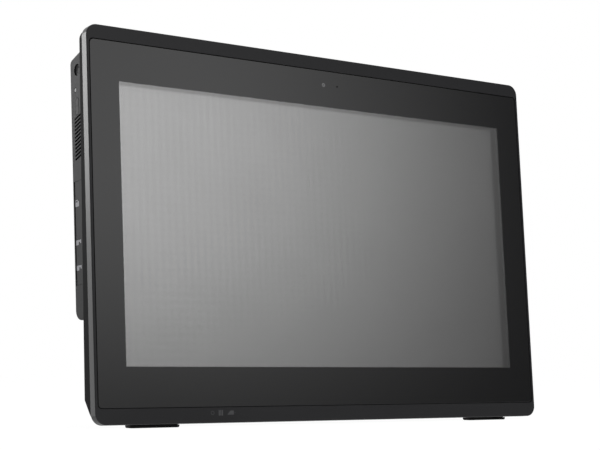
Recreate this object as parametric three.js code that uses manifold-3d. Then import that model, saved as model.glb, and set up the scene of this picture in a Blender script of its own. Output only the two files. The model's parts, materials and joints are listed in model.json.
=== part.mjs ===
// All-in-one computer: a 15.6 inch touch display with the computer in a raised housing behind it,
// leaning back on two front feet and a fold-out stand. Millimetres, +Z up, the screen faces -Y.
// Most pieces are drawn in the frame of the upright panel: x to the right, y into the depth from
// the front face, z up from the lower edge. The panel is then leaned back and set on its feet.
import * as THREE from "three";
import { mergeVertices } from "three/addons/utils/BufferGeometryUtils.js";
import Module from "manifold-3d";

const wasm = await Module();
wasm.setup();
const degree = Math.PI / 180;

// ---------------------------------------------------------------- driving sizes

const gap = 0.3; // seat and running clearance between neighbouring pieces
const lean = 4 * degree; // how far the panel leans back
const legAngle = 50 * degree; // stand leg from the vertical

const activeWidth = 344.16; // lit area of the display
const activeHeight = activeWidth * 9 / 16;
const sideBorder = 23.92; // lit area to the outer edge
const topBorder = 37.8;
const bottomBorder = 38.6;
const bodyWidth = activeWidth + 2 * sideBorder;
const bodyHeight = activeHeight + topBorder + bottomBorder;
const halfBody = bodyWidth / 2;
const screenZ = bottomBorder + activeHeight / 2;

const frameDepth = 6.9; // front frame
const frameCorner = 8;
const frameWall = 2;
const sideLip = 2.2;
const topLip = 10.1;
const bottomLip = 10.9;
const ledgeThickness = 1.6;
const windowMargin = 4;

const glassThickness = 1.8;
const glassSetback = 0.2;
const glassCorner = 3;
const tapeThickness = 0.3;
const tapeWidth = 6;
const tapeMargin = 1.2;

const lensRadius = 2.2; // camera and microphone behind the glass
const microphoneRadius = 1.5;
const microphoneX = 12.7;
const cameraDrop = 10.9; // below the glass opening's upper edge

const cellMargin = 6; // display cell beyond the lit area
const cellThickness = 1.2;
const trayRim = 1.5;
const trayBack = 2.3;
const sheet = 1.5; // display bracket sheet

const wall = 2.2; // moulded walls
const shellInset = 0.6; // body shell inside the frame's outline
const shellDraft = 1.4; // more inset at its back
const depthAtTop = 13; // thin body, front face to back face
const depthAtBottom = 19;
const bevelRise = 17.4; // bevel under the thin body, from its back
const bevelStart = 4.2; // to its front

const housingInset = 5.2; // housing inside the body's sides
const housingTopMargin = 12; // housing below the body's top
const housingDepth = 36; // front face to housing back
const housingSlope = 5.6; // fall of the housing's top, front to back
const housingLowRadius = 7;
const housingHighRadius = 3.5;
const housingSideRadius = 2.5;

const buttonDrop = 14; // side controls, each below the one before
const lightDrop = 13.7;
const rockerDrop = 11.8;
const grilleDrop = 7.3;
const slotCount = 12;
const slotPitch = 2.54;
const slotLength = 10.5;
const slotHeight = 1.2;
const slotTurn = 14 * degree;
const doorDrop = 16.3;
const doorHeight = 71;
const doorMargin = 24;
const controlDepth = 25.4; // side controls behind the front face
const lightDepth = 28.2;
const rockerDepth = 26.2;

const buttonRadius = 3.7;
const buttonTravel = 0.8;
const rockerLength = 12;
const rockerWidth = 5;
const lightRadius = 1.5;
const flange = 1; // collar that holds a button in
const powerBoardIn = 8; // power board in from the housing's side
const switchHeight = 2;
const doorThickness = 1.8;
const doorFront = 21.2;
const barrelRadius = 1.7;
const doorPinRadius = 0.7;
const doorPivotDepth = 31.6;
const doorLug = 4.5;

const plateThickness = 1.2; // chassis plate
const plateFront = 10.7;
const pcb = 1.6; // printed boards
const boardRear = 18.6;
const boardWidth = 200;
const boardHeight = 150;
const boardLeft = 41; // board in from the housing's left side
const postRadius = 2.5;
const sidePortBoardRear = 21.7;
const sidePortBoardWidth = 29;
const cableIn = 93.8; // display cable in from the board's left edge
const cableWidth = 30;
const indicatorIn = 82; // indicator board in from the body's side
const indicatorLength = 22;

const bayHeight = 7; // connector bay under the housing
const bayLeft = 38; // bay in from the housing's left side
const bayEnd = 1.6;
const bayMargin = 6;
const portSpacing = 6;
const portPlate = 1;

const pinRadius = 2.5; // stand hinge
const legBarrelRadius = 5;
const legWidth = 120;
const legThickness = 3;
const earThickness = 3;
const bracketThickness = 2;
const bracketWidth = 170;
const bracketHeight = 30;
const bracketRise = 9; // bracket above the housing's lower edge
const pivotRise = 16; // hinge above the housing's lower edge
const pivotStandoff = 8.5; // hinge behind the housing's back
const cableHoleWidth = 50;
const cableHoleHeight = 26;
const padDepth = 17;
const padHeight = 8;

const footLength = 38;
const footInset = 47; // foot's centre in from the body's side
const footFront = 5;
const footBack = 12;
const footHeight = 2.2;

const wallMountPitch = 100; // four threaded holes of the wall mount
const wallMountRadius = 2;
const wallMountDrop = 93; // pattern centre below the housing's top
const bossRadius = 5;

// ---------------------------------------------------------------- sizes that follow

const halfHousing = halfBody - housingInset;
const footCentre = halfBody - footInset;
const housingTop = bodyHeight - housingTopMargin;
const buttonZ = housingTop - buttonDrop;
const lightZ = buttonZ - lightDrop;
const rockerZ = lightZ - rockerDrop;
const firstSlotZ = rockerZ - grilleDrop;
const lastSlotZ = firstSlotZ - (slotCount - 1) * slotPitch;
const doorTop = lastSlotZ - doorDrop;
const doorBottom = doorTop - doorHeight;
const housingBottom = doorBottom - doorMargin;
const innerSide = halfHousing - wall;
const innerBack = housingDepth - wall;

const cameraZ = bodyHeight - topLip - cameraDrop;
const glassHalf = halfBody - sideLip - gap;
const glassLow = bottomLip + gap;
const glassHigh = bodyHeight - topLip - gap;
const pocketDepth = glassSetback + glassThickness + tapeThickness + 2 * gap;
const ledgeBack = pocketDepth + ledgeThickness;
const cellFront = ledgeBack + gap;
const cellHalfWidth = activeWidth / 2 + cellMargin;
const cellHalfHeight = activeHeight / 2 + cellMargin;
const trayHalfWidth = cellHalfWidth + gap + trayRim;
const trayHalfHeight = cellHalfHeight + gap + trayRim;
const trayFloor = cellFront + cellThickness + gap;
const trayRear = trayFloor + trayBack;

const bayFloor = housingBottom + bayHeight;
const portMouth = bayFloor + gap;
const boardLow = portMouth + portPlate + 2;
const pivotZ = housingBottom + pivotRise;
const pivotDepth = housingDepth + pivotStandoff;
const footLift = Math.sin(lean) * footFront + Math.cos(lean) * footHeight;
const pivotHeight = footLift + Math.cos(lean) * pivotZ - Math.sin(lean) * pivotDepth;
const legLength = pivotHeight / Math.cos(legAngle);

const bayStart = -halfHousing + bayLeft;
const portWidths = {
  dc_jack: 9, hdmi_port: 15, lan_port_left: 16, lan_port_right: 16,
  usb_stack_left: 13.4, usb_stack_right: 13.4, headphone_jack: 7, microphone_jack: 7,
};
const bayLength = Object.values(portWidths).reduce((sum, width) => sum + width + portSpacing, -portSpacing)
  + 2 * bayMargin;
const bayRight = bayStart + bayLength;

/** Back face of the thin body at height z. */
function thinBack(z) {
  const rise = (z - bevelRise) / (bodyHeight - bevelRise);
  return depthAtBottom + (depthAtTop - depthAtBottom) * rise;
}

/** The floor's height in the panel's frame at depth y. */
function floorAt(y) {
  return y * Math.tan(lean) - footLift / Math.cos(lean);
}

// ---------------------------------------------------------------- finishes

function finish(color, roughness, metalness = 0) {
  return new THREE.MeshStandardMaterial({ color, roughness, metalness });
}

const framePlastic = finish(0x2b2b2d, 0.4);
const bodyPlastic = finish(0x2a2a2c, 0.6);
const housingPlastic = finish(0x343436, 0.65);
const buttonPlastic = finish(0x222224, 0.45);
const rubber = finish(0x101011, 0.9);
const blackGlass = finish(0x1c1c1e, 0.15);
const displayFace = finish(0x8d8c88, 0.35);
const steel = finish(0x9a9b9d, 0.4, 0.9);
const blackSteel = finish(0x202022, 0.5, 0.4);
const aluminium = finish(0xb4b6b8, 0.45, 0.9);
const boardGreen = finish(0x1d4a2c, 0.6);
const chipBlack = finish(0x1a1a1b, 0.55);
const portInsert = finish(0x141415, 0.6);
const clearPlastic = finish(0xd8dadb, 0.3);
const adhesive = finish(0x242424, 0.8);
const cableFoil = finish(0x3a3a3c, 0.6);

// ---------------------------------------------------------------- shapes and booleans

/** A closed outline from points given anticlockwise, each corner rounded by its own radius. */
function outline(points, radii = 0, steps = 5) {
  const shape = new THREE.Shape();
  const rounded = [];
  points.forEach(([a, b], i) => {
    const radius = Array.isArray(radii) ? radii[i] : radii;
    const before = new THREE.Vector2(...points.at(i - 1)).sub({ x: a, y: b }).normalize();
    const after = new THREE.Vector2(...points[(i + 1) % points.length]).sub({ x: a, y: b }).normalize();
    if (!radius) {
      rounded.push([a, b]);
      return;
    }
    const half = Math.acos(before.dot(after)) / 2;
    const middle = before.clone().add(after).normalize().multiplyScalar(radius / Math.sin(half));
    const from = Math.atan2(
      before.y * radius / Math.tan(half) - middle.y,
      before.x * radius / Math.tan(half) - middle.x,
    );
    const turn = Math.PI - 2 * half;
    for (let step = 0; step <= steps; step += 1) {
      const angle = from + turn * step / steps;
      rounded.push([a + middle.x + radius * Math.cos(angle), b + middle.y + radius * Math.sin(angle)]);
    }
  });
  shape.setFromPoints(rounded.map(([a, b]) => new THREE.Vector2(a, b)));
  return shape;
}

function rectangle(a0, a1, b0, b1, radius = 0) {
  return outline([[a0, b0], [a1, b0], [a1, b1], [a0, b1]], radius);
}

/** Moves each edge of a convex anticlockwise outline inwards by its own distance. */
function inset(points, distances) {
  const lines = points.map(([a, b], i) => {
    const [c, d] = points[(i + 1) % points.length];
    const length = Math.hypot(c - a, d - b);
    const normal = [-(d - b) / length, (c - a) / length];
    return { normal, offset: normal[0] * a + normal[1] * b + distances[i] };
  });
  return lines.map((line, i) => {
    const other = lines.at(i - 1);
    const cross = other.normal[0] * line.normal[1] - other.normal[1] * line.normal[0];
    return [
      (other.offset * line.normal[1] - line.offset * other.normal[1]) / cross,
      (other.normal[0] * line.offset - line.normal[0] * other.offset) / cross,
    ];
  });
}

function extrude(shape, depth) {
  return new THREE.ExtrudeGeometry(shape, { depth, bevelEnabled: false });
}

function solid(geometry) {
  const plain = geometry.clone();
  plain.deleteAttribute("normal");
  plain.deleteAttribute("uv");
  const merged = mergeVertices(plain, 1e-4);
  return new wasm.Manifold(new wasm.Mesh({
    numProp: 3,
    vertProperties: new Float32Array(merged.attributes.position.array),
    triVerts: new Uint32Array(merged.index.array),
  }));
}

function geometryOf(shape) {
  const { vertProperties, triVerts } = shape.getMesh();
  const geometry = new THREE.BufferGeometry();
  geometry.setAttribute("position", new THREE.BufferAttribute(vertProperties, 3));
  geometry.setIndex(new THREE.BufferAttribute(triVerts, 1));
  return geometry;
}

/** An outline in x and z, extruded in y. */
function slabY(shape, y0, y1) {
  return solid(extrude(shape, y1 - y0).rotateX(Math.PI / 2).translate(0, y1, 0));
}

/** An outline in y and z, extruded in x. */
function slabX(shape, x0, x1) {
  const turned = new THREE.Matrix4().makeBasis(
    new THREE.Vector3(0, 1, 0),
    new THREE.Vector3(0, 0, 1),
    new THREE.Vector3(1, 0, 0),
  );
  return solid(extrude(shape, x1 - x0).applyMatrix4(turned).translate(x0, 0, 0));
}

/** An outline in x and y, extruded in z. */
function slabZ(shape, z0, z1) {
  return solid(extrude(shape, z1 - z0).translate(0, 0, z0));
}

function block(x0, x1, y0, y1, z0, z1) {
  const box = new THREE.BoxGeometry(x1 - x0, y1 - y0, z1 - z0);
  return solid(box.translate((x0 + x1) / 2, (y0 + y1) / 2, (z0 + z1) / 2));
}

function rod(axis, radius, from, to, a = 0, b = 0, sides = 20) {
  const cylinder = new THREE.CylinderGeometry(radius, radius, to - from, sides);
  const middle = (from + to) / 2;
  if (axis === "x") return solid(cylinder.rotateZ(Math.PI / 2).translate(middle, a, b));
  if (axis === "z") return solid(cylinder.rotateX(Math.PI / 2).translate(a, b, middle));
  return solid(cylinder.translate(a, middle, b));
}

/** A profile of [radius, height] turned about an axis, standing on `axis` from zero. */
function turned(axis, profile, sides = 24) {
  const lathe = new THREE.LatheGeometry(profile.map(([r, h]) => new THREE.Vector2(r, h)), sides);
  if (axis === "x") lathe.rotateZ(-Math.PI / 2);
  return solid(lathe);
}

function join(parts) {
  return parts.reduce((whole, part) => whole.add(part));
}

function cut(base, tools) {
  return tools.length ? base.subtract(join(tools)) : base;
}

function add(parent, name, shape, material) {
  const mesh = new THREE.Mesh(geometryOf(shape), material);
  mesh.name = name;
  parent.add(mesh);
  return mesh;
}

// ---------------------------------------------------------------- front: frame, glass, display

function frontFrame() {
  const outer = slabY(rectangle(-halfBody, halfBody, 0, bodyHeight, frameCorner), 0, frameDepth);
  const pocketHalf = halfBody - sideLip;
  const pocketShape = rectangle(-pocketHalf, pocketHalf, bottomLip, bodyHeight - topLip, glassCorner);
  const windowX = activeWidth / 2 + windowMargin;
  const windowZ = activeHeight / 2 + windowMargin;
  const windowShape = rectangle(-windowX, windowX, screenZ - windowZ, screenZ + windowZ);
  const hollowHalf = halfBody - frameWall;
  const hollowShape = rectangle(
    -hollowHalf, hollowHalf, frameWall, bodyHeight - frameWall, frameCorner - frameWall,
  );
  return cut(outer, [
    slabY(pocketShape, -1, pocketDepth),
    slabY(windowShape, pocketDepth - 1, frameDepth + 1),
    slabY(hollowShape, ledgeBack, frameDepth + 1),
    rod("y", lensRadius + gap, pocketDepth - 1, ledgeBack + 1, 0, cameraZ),
    rod("y", microphoneRadius + gap, pocketDepth - 1, ledgeBack + 1, microphoneX, cameraZ),
  ]);
}

function touchGlass() {
  const shape = rectangle(-glassHalf, glassHalf, glassLow, glassHigh, glassCorner);
  const back = glassSetback + glassThickness;
  const soundHole = rod("y", 0.6, glassSetback - 1, back + 1, microphoneX, cameraZ, 10);
  return cut(slabY(shape, glassSetback, back), [soundHole]);
}

function glassTape() {
  const front = glassSetback + glassThickness + gap;
  const ring = (margin) => rectangle(
    -glassHalf + margin, glassHalf - margin, glassLow + margin, glassHigh - margin,
  );
  const outer = slabY(ring(tapeMargin), front, front + tapeThickness);
  return cut(outer, [slabY(ring(tapeMargin + tapeWidth), front - 1, front + tapeThickness + 1)]);
}

function displayCell() {
  return block(
    -cellHalfWidth, cellHalfWidth, cellFront, cellFront + cellThickness,
    screenZ - cellHalfHeight, screenZ + cellHalfHeight,
  );
}

function backlightTray() {
  const outer = block(
    -trayHalfWidth, trayHalfWidth, cellFront, trayRear,
    screenZ - trayHalfHeight, screenZ + trayHalfHeight,
  );
  const pocketX = cellHalfWidth + gap;
  const pocketZ = cellHalfHeight + gap;
  return cut(outer, [
    block(-pocketX, pocketX, cellFront - 1, trayFloor, screenZ - pocketZ, screenZ + pocketZ),
  ]);
}

/** Bent strip beside the display that hooks behind its tray; side is -1 or 1. */
function displayBracket(side) {
  const edge = trayHalfWidth + gap;
  const back = trayRear + gap;
  const points = [
    [edge, cellFront], [edge + 7, cellFront], [edge + 7, cellFront + sheet],
    [edge + sheet, cellFront + sheet], [edge + sheet, back + sheet],
    [edge - 12, back + sheet], [edge - 12, back], [edge, back],
  ];
  const bent = slabZ(outline(points), screenZ - activeHeight / 2 + 5, screenZ + activeHeight / 2 - 5);
  return side > 0 ? bent : bent.mirror([1, 0, 0]);
}

function cameraLens() {
  const length = ledgeBack - pocketDepth + 0.6;
  const lens = turned("y", [[0, 0.5], [1.2, 0.3], [1.5, 0], [lensRadius, 0], [lensRadius, length], [0, length]]);
  return lens.translate([0, ledgeBack - length, cameraZ]);
}

function microphone() {
  const length = ledgeBack - pocketDepth + 0.4;
  const can = turned("y", [[0, 0.4], [0.4, 0.4], [0.4, 0], [microphoneRadius, 0],
    [microphoneRadius, length], [0, length]], 16);
  return can.translate([microphoneX, ledgeBack - length, cameraZ]);
}

function cameraModule() {
  const front = ledgeBack + gap;
  const board = block(-20, 20, front, front + 1, cameraZ - 4, cameraZ + 4);
  return join([board, block(-16, -10, front + 0.9, front + 2, cameraZ - 2.5, cameraZ + 2.5)]);
}

function touchBoard() {
  const front = trayRear + gap;
  const low = screenZ - activeHeight / 2;
  const board = block(-50, 10, front, front + 1, low, low + 16);
  const chip = block(-26, -18, front + 0.9, front + 2, low + 4, low + 12);
  return join([board, chip, block(0, 8, front + 0.9, front + 2.6, low + 2, low + 14)]);
}

function indicatorBoard() {
  const front = ledgeBack + gap;
  const left = -halfBody + indicatorIn;
  return block(left, left + indicatorLength, front, front + 1, frameWall + 1, bottomLip - gap);
}

// ---------------------------------------------------------------- shells

/** A rounded block from y0 to y1, inset more by `draft` at its far side. */
function taperedBlock(edge, draft, y0, y1) {
  const shape = rectangle(-halfBody + edge, halfBody - edge, edge, bodyHeight - edge, frameCorner - edge);
  const geometry = extrude(shape, y1 - y0).rotateX(Math.PI / 2).translate(0, y1, 0);
  const position = geometry.attributes.position;
  const middle = bodyHeight / 2;
  for (let i = 0; i < position.count; i += 1) {
    if (position.getY(i) < (y0 + y1) / 2) continue;
    position.setX(i, position.getX(i) * (1 - draft / halfBody));
    position.setZ(i, middle + (position.getZ(i) - middle) * (1 - draft / middle));
  }
  return solid(geometry);
}

function bodyShell() {
  const front = frameDepth + gap;
  const profile = [
    [front, bevelStart], [depthAtBottom, bevelRise],
    [depthAtTop, bodyHeight], [front, bodyHeight],
  ];
  const outer = taperedBlock(shellInset, shellDraft, front, depthAtBottom + 1)
    .intersect(slabX(outline(profile), -halfBody, halfBody));
  const hollow = taperedBlock(shellInset + frameWall, shellDraft, front - 1, depthAtBottom + 1)
    .intersect(slabX(outline(inset(profile, [frameWall, frameWall, frameWall, -2])), -halfBody, halfBody));
  const ledge = 4;
  const opening = slabY(
    rectangle(-innerSide + ledge, innerSide - ledge, boardLow - gap, housingTop - wall - ledge, 3),
    depthAtTop - frameWall - 3, depthAtBottom + 1,
  );
  return cut(outer, [hollow, opening]);
}

function housingProfile() {
  return [
    [thinBack(housingBottom) + gap, housingBottom], [housingDepth, housingBottom],
    [housingDepth, housingTop - housingSlope], [thinBack(housingTop) + gap, housingTop],
  ];
}

function housingBlock(profile, radii, half, back, sideRadius) {
  const side = slabX(outline(profile, radii), -half, half);
  const plan = outline([[-half, 0], [half, 0], [half, back], [-half, back]], [0, 0, sideRadius, sideRadius]);
  return side.intersect(slabZ(plan, 0, bodyHeight));
}

/** Slanted sound slots through one side wall; side is -1 or 1. */
function grilleCuts(side) {
  const x = side * halfHousing;
  const cuts = [];
  for (let i = 0; i < slotCount; i += 1) {
    const slot = block(x - 3, x + 3, -slotLength / 2, slotLength / 2, -slotHeight / 2, slotHeight / 2);
    const z = firstSlotZ - i * slotPitch;
    cuts.push(slot.rotate([-slotTurn / degree, 0, 0]).translate([0, controlDepth, z]));
  }
  return cuts;
}

const ventCount = 22;
const ventPitch = 8;
const ventWidth = 3;
const ventHeight = 24;
const ventDrop = 12; // back vents below the housing's top

function ventCuts() {
  const cuts = [];
  for (let i = 0; i < ventCount; i += 1) {
    const x = (i - (ventCount - 1) / 2) * ventPitch;
    const high = housingTop - ventDrop;
    cuts.push(slabY(
      rectangle(x - ventWidth / 2, x + ventWidth / 2, high - ventHeight, high),
      innerBack - 1, housingDepth + 1,
    ));
    cuts.push(block(x - ventWidth / 2, x + ventWidth / 2, 21, 30, housingTop - 12, housingTop + 1));
  }
  return cuts;
}

const wallMountZ = housingTop - wallMountDrop;
const wallMountPoints = [-1, 1].flatMap((sx) => [-1, 1].map(
  (sz) => [sx * wallMountPitch / 2, wallMountZ + sz * wallMountPitch / 2],
));
const bracketScrewX = bracketWidth / 2 - 10;
const bracketScrewZ = [housingBottom + bracketRise + 5, housingBottom + bracketRise + bracketHeight - 5];
const bracketScrewPoints = [-bracketScrewX, bracketScrewX].flatMap((x) => bracketScrewZ.map((z) => [x, z]));
const housingScrewX = halfHousing - 23;
const housingScrewZ = [housingBottom + 18, housingTop - 14];
const housingScrewPoints = [-housingScrewX, housingScrewX].flatMap((x) => housingScrewZ.map((z) => [x, z]));
const screwRadius = 1.5;
const headRadius = 3;
const headThickness = 1.2;

function rearHousing() {
  const profile = housingProfile();
  const radii = [0, housingLowRadius, housingHighRadius, 0];
  const outer = housingBlock(profile, radii, halfHousing, housingDepth, housingSideRadius);
  const innerRadii = [0, housingLowRadius - wall, housingHighRadius - wall, 0];
  const innerProfile = inset(profile, [wall, wall, wall, -3]);
  const hollow = housingBlock(innerProfile, innerRadii, innerSide, innerBack, 0.4);
  const ends = [bayStart - bayEnd, bayRight].map((x) => block(
    x, x + bayEnd, thinBack(housingBottom) + 1.2, housingDepth - 0.5, housingBottom + 0.5, bayFloor,
  ).intersect(outer));
  const bosses = [
    ...wallMountPoints.map(([x, z]) => rod("y", bossRadius, innerBack - 7, innerBack + 0.5, x, z)),
    ...housingScrewPoints.map(([x, z]) => rod("y", bossRadius - 0.5, innerBack - 7, innerBack + 0.5, x, z)),
  ];
  const lugs = [doorTop + gap, doorBottom - gap - doorLug].map((z) => block(
    -halfHousing + 0.5, -halfHousing + 2 * barrelRadius + 0.8,
    doorPivotDepth - barrelRadius - 0.6, innerBack + 0.5, z, z + doorLug,
  ));
  const shell = join([cut(outer, [hollow]), ...ends, ...bosses, ...lugs]);
  return cut(shell, [
    block(bayStart, bayRight, 5, housingDepth + 1, housingBottom - 1, bayFloor),
    ...grilleCuts(-1), ...grilleCuts(1), ...ventCuts(),
    ...controlCuts(), ...screwCuts(),
    ...wallMountPoints.map(([x, z]) => rod("y", wallMountRadius, innerBack - 6, housingDepth + 1, x, z)),
    rod("z", doorPinRadius + gap, doorBottom - doorLug, doorTop + doorLug,
      -halfHousing + barrelRadius, doorPivotDepth, 12),
  ]);
}

function controlCuts() {
  const x = -halfHousing;
  const rockerShape = rectangle(
    rockerDepth - rockerWidth / 2 - gap, rockerDepth + rockerWidth / 2 + gap,
    rockerZ - rockerLength / 2 - gap, rockerZ + rockerLength / 2 + gap, rockerWidth / 2 + gap - 0.05,
  );
  const doorShape = rectangle(
    doorFront - gap, doorPivotDepth + barrelRadius + gap + 0.1, doorBottom - gap, doorTop + gap,
  );
  return [
    rod("x", buttonRadius + gap + 0.1, x - 1, x + wall + 1, controlDepth, buttonZ, 28),
    rod("x", lightRadius + gap, x - 1, x + wall + 1, lightDepth, lightZ),
    slabX(rockerShape, x - 1, x + wall + 1),
    slabX(doorShape, x - 1, x + wall + 2),
    block(-x - wall - 1, -x + 1, 24, 27, doorBottom, doorBottom + 7),
  ];
}

function screwCuts() {
  const housing = housingScrewPoints.flatMap(([x, z]) => [
    rod("y", headRadius + gap, housingDepth - headThickness - gap, housingDepth + 1, x, z),
    rod("y", screwRadius + gap, innerBack - 8, housingDepth + 1, x, z),
  ]);
  const bracket = bracketScrewPoints.map(
    ([x, z]) => rod("y", screwRadius + gap, innerBack - 1, housingDepth + 1, x, z),
  );
  return [...housing, ...bracket];
}

// ---------------------------------------------------------------- side controls and port door

function powerButton() {
  const wallInside = wall + gap;
  const stemEnd = powerBoardIn - switchHeight - buttonTravel - gap;
  const profile = [
    [0, 0.9], [1.6, 0.75], [2.8, 0.35], [3.1, 0.2], [buttonRadius - 0.3, 0.2], [buttonRadius, 0.5],
    [buttonRadius, wallInside], [buttonRadius + flange, wallInside],
    [buttonRadius + flange, wallInside + flange], [1.5, wallInside + flange],
    [1.5, stemEnd], [0, stemEnd],
  ];
  return turned("x", profile, 28).translate([-halfHousing, controlDepth, buttonZ]);
}

function volumeRocker() {
  const face = -halfHousing - 0.1;
  const wallInside = -halfHousing + wall + 2 * gap;
  const oval = (grow) => rectangle(
    -rockerWidth / 2 - grow, rockerWidth / 2 + grow,
    -rockerLength / 2 - grow, rockerLength / 2 + grow, rockerWidth / 2 + grow - 0.05,
  );
  const cap = slabX(oval(0), face, wallInside + 0.5);
  const collar = slabX(oval(flange), wallInside, wallInside + flange);
  return join([cap, collar]).translate([0, rockerDepth, rockerZ]);
}

function statusLight() {
  return rod("x", lightRadius, -halfHousing, -halfHousing + powerBoardIn - gap, lightDepth, lightZ, 16);
}

function powerBoard() {
  const face = -halfHousing + powerBoardIn;
  const switchBlock = (y, z) => block(face - switchHeight, face + 0.1, y - 2, y + 2, z - 2, z + 2);
  return join([
    block(face, face + pcb, 18.5, innerBack - gap, rockerZ - 7, buttonZ + 6),
    switchBlock(controlDepth, buttonZ),
    switchBlock(rockerDepth, rockerZ + rockerLength / 2 - 1.5),
    switchBlock(rockerDepth, rockerZ - rockerLength / 2 + 1.5),
  ]);
}

function speaker(side) {
  const outer = innerSide - gap;
  const box = block(outer - 15, outer, 18.5, innerBack - gap, lastSlotZ - 6, firstSlotZ - 1.2);
  const cone = rod("x", 6, outer - 2, outer + 1, controlDepth + 0.5, (firstSlotZ + lastSlotZ) / 2, 24);
  const dome = rod("x", 2.5, outer - 3, outer - 1, controlDepth + 0.5, (firstSlotZ + lastSlotZ) / 2, 12);
  const whole = join([cut(box, [cone]), dome]);
  return side > 0 ? whole : whole.mirror([1, 0, 0]);
}

function portDoor() {
  const x = -halfHousing;
  const leaf = block(x, x + doorThickness, doorFront, doorPivotDepth, doorBottom, doorTop);
  const barrel = rod("z", barrelRadius, doorBottom, doorTop, x + barrelRadius, doorPivotDepth, 20);
  const middle = (doorBottom + doorTop) / 2;
  const nail = block(x - 0.1, x + 0.7, doorFront - 1, doorFront + 1.2, middle - 5, middle + 5);
  const bore = rod("z", doorPinRadius + gap, doorBottom - 1, doorTop + 1, x + barrelRadius, doorPivotDepth, 12);
  return cut(join([leaf, barrel]), [nail, bore]);
}

function portDoorPin() {
  return rod("z", doorPinRadius, doorBottom - gap - doorLug + 0.6, doorTop + gap + doorLug - 0.6,
    -halfHousing + barrelRadius, doorPivotDepth, 12);
}

// ---------------------------------------------------------------- inside the housing

function boardPoints() {
  const left = -halfHousing + boardLeft;
  return [left + 6, left + boardWidth - 6].flatMap(
    (x) => [boardLow + 26, boardLow + boardHeight - 6].map((z) => [x, z]),
  );
}

function sidePortBoardPoints() {
  return [doorBottom + 4, doorTop - 4].map((z) => [-halfHousing + sidePortBoardWidth - 1, z]);
}

function chassisPlate() {
  const edge = innerSide - 4 - 0.6;
  const low = boardLow;
  const high = housingTop - wall - 4 - 0.6;
  const rear = plateFront + plateThickness;
  const plate = slabY(rectangle(-edge, edge, low, high, 2.4), plateFront, rear);
  const side = cableWidth / 2 + 2;
  const cableSlot = block(cableX - side, cableX + side, plateFront - 1, rear + 1, cableZ - 2.5, cableZ + 1);
  const post = ([x, z], reach) => rod("y", postRadius, rear - 0.2, reach, x, z, 12);
  return join([
    cut(plate, [cableSlot]),
    ...boardPoints().map((point) => post(point, boardRear - pcb - gap)),
    ...sidePortBoardPoints().map((point) => post(point, sidePortBoardRear - pcb - gap)),
  ]);
}

function mainBoard() {
  const left = -halfHousing + boardLeft;
  const board = block(
    left, left + boardWidth, boardRear - pcb, boardRear, boardLow, boardLow + boardHeight,
  );
  const holes = boardPoints().map(([x, z]) => rod("y", 1.6, boardRear - pcb - 1, boardRear + 1, x, z, 12));
  const chips = [[30, 40, 18], [118, 36, 12], [182, 110, 14], [184, 60, 10]].map(([x, z, size]) => block(
    left + x, left + x + size, boardRear - 0.1, boardRear + 1.4, boardLow + z, boardLow + z + size,
  ));
  return cut(join([board, ...chips]), holes);
}

const sinkLeft = 12; // heatsink in from the board's left edge
const sinkRise = 62;
const sinkSize = 80;
const finCount = 14;

function processor() {
  const x = -halfHousing + boardLeft + sinkLeft + sinkSize / 2;
  const z = boardLow + sinkRise + sinkSize / 2;
  const base = block(x - 16, x + 16, boardRear + gap, boardRear + gap + 1, z - 14, z + 14);
  return join([base, block(x - 7, x + 7, boardRear + gap + 0.9, boardRear + gap + 2.2, z - 6, z + 6)]);
}

function heatsink() {
  const left = -halfHousing + boardLeft + sinkLeft;
  const low = boardLow + sinkRise;
  const front = boardRear + gap + 2.2 + gap;
  const fins = [];
  for (let i = 0; i < finCount; i += 1) {
    const x = left + i * (sinkSize - 1.6) / (finCount - 1);
    fins.push(block(x, x + 1.6, front + 2.5, innerBack - gap, low, low + sinkSize));
  }
  return join([block(left, left + sinkSize, front, front + 3, low, low + sinkSize), ...fins]);
}

function memoryModule(index) {
  const left = -halfHousing + boardLeft + 108;
  const low = boardLow + 52 + index * 36;
  const front = boardRear + gap;
  return join([
    block(left, left + 69, front, front + 4, low, low + 5),
    block(left + 0.7, left + 68.3, front + 2, front + 3.2, low + 4.9, low + 33),
    ...[6, 26, 46].map((x) => block(left + x, left + x + 12, front + 1, front + 2.1, low + 12, low + 24)),
  ]);
}

function wirelessCard() {
  const left = -halfHousing + boardLeft + 112;
  const low = boardLow + boardHeight - 22;
  const front = boardRear + gap;
  return join([
    block(left, left + 4, front, front + 3.4, low - 6, low + 18),
    block(left + 3.9, left + 30, front + 1.4, front + 2.2, low - 5, low + 17),
    block(left + 9, left + 24, front + 2.1, front + 3.6, low, low + 12),
  ]);
}

const driveWidth = 69.85;
const driveLength = 100.2;
const driveThickness = 7;
const driveX = -halfHousing + boardLeft + boardWidth + 12;
const driveZ = boardLow + 40;

function driveBracket() {
  const front = plateFront + plateThickness + gap;
  const side = gap + 1.2;
  const floor = block(driveX - side, driveX + driveWidth + side, front, front + 1, driveZ, driveZ + driveLength);
  const cheeks = [driveX - side, driveX + driveWidth + gap].map(
    (x) => block(x, x + 1.2, front + 0.5, front + 1 + driveThickness, driveZ, driveZ + driveLength),
  );
  return join([floor, ...cheeks]);
}

function drive() {
  const front = plateFront + plateThickness + 2 * gap + 1;
  const body = block(driveX, driveX + driveWidth, front, front + driveThickness, driveZ, driveZ + driveLength);
  const step = block(driveX + 4, driveX + driveWidth - 4, front + driveThickness - 0.4,
    front + driveThickness + 1, driveZ + 10, driveZ + driveLength - 4);
  return cut(body, [step]);
}

function sidePortBoard() {
  const left = -halfHousing + 4;
  const board = block(left, left + sidePortBoardWidth, sidePortBoardRear - pcb, sidePortBoardRear,
    doorBottom, doorTop);
  const holes = sidePortBoardPoints().map(
    ([x, z]) => rod("y", 1.4, sidePortBoardRear - pcb - 1, sidePortBoardRear + 1, x, z, 12),
  );
  return cut(board, holes);
}

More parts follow.
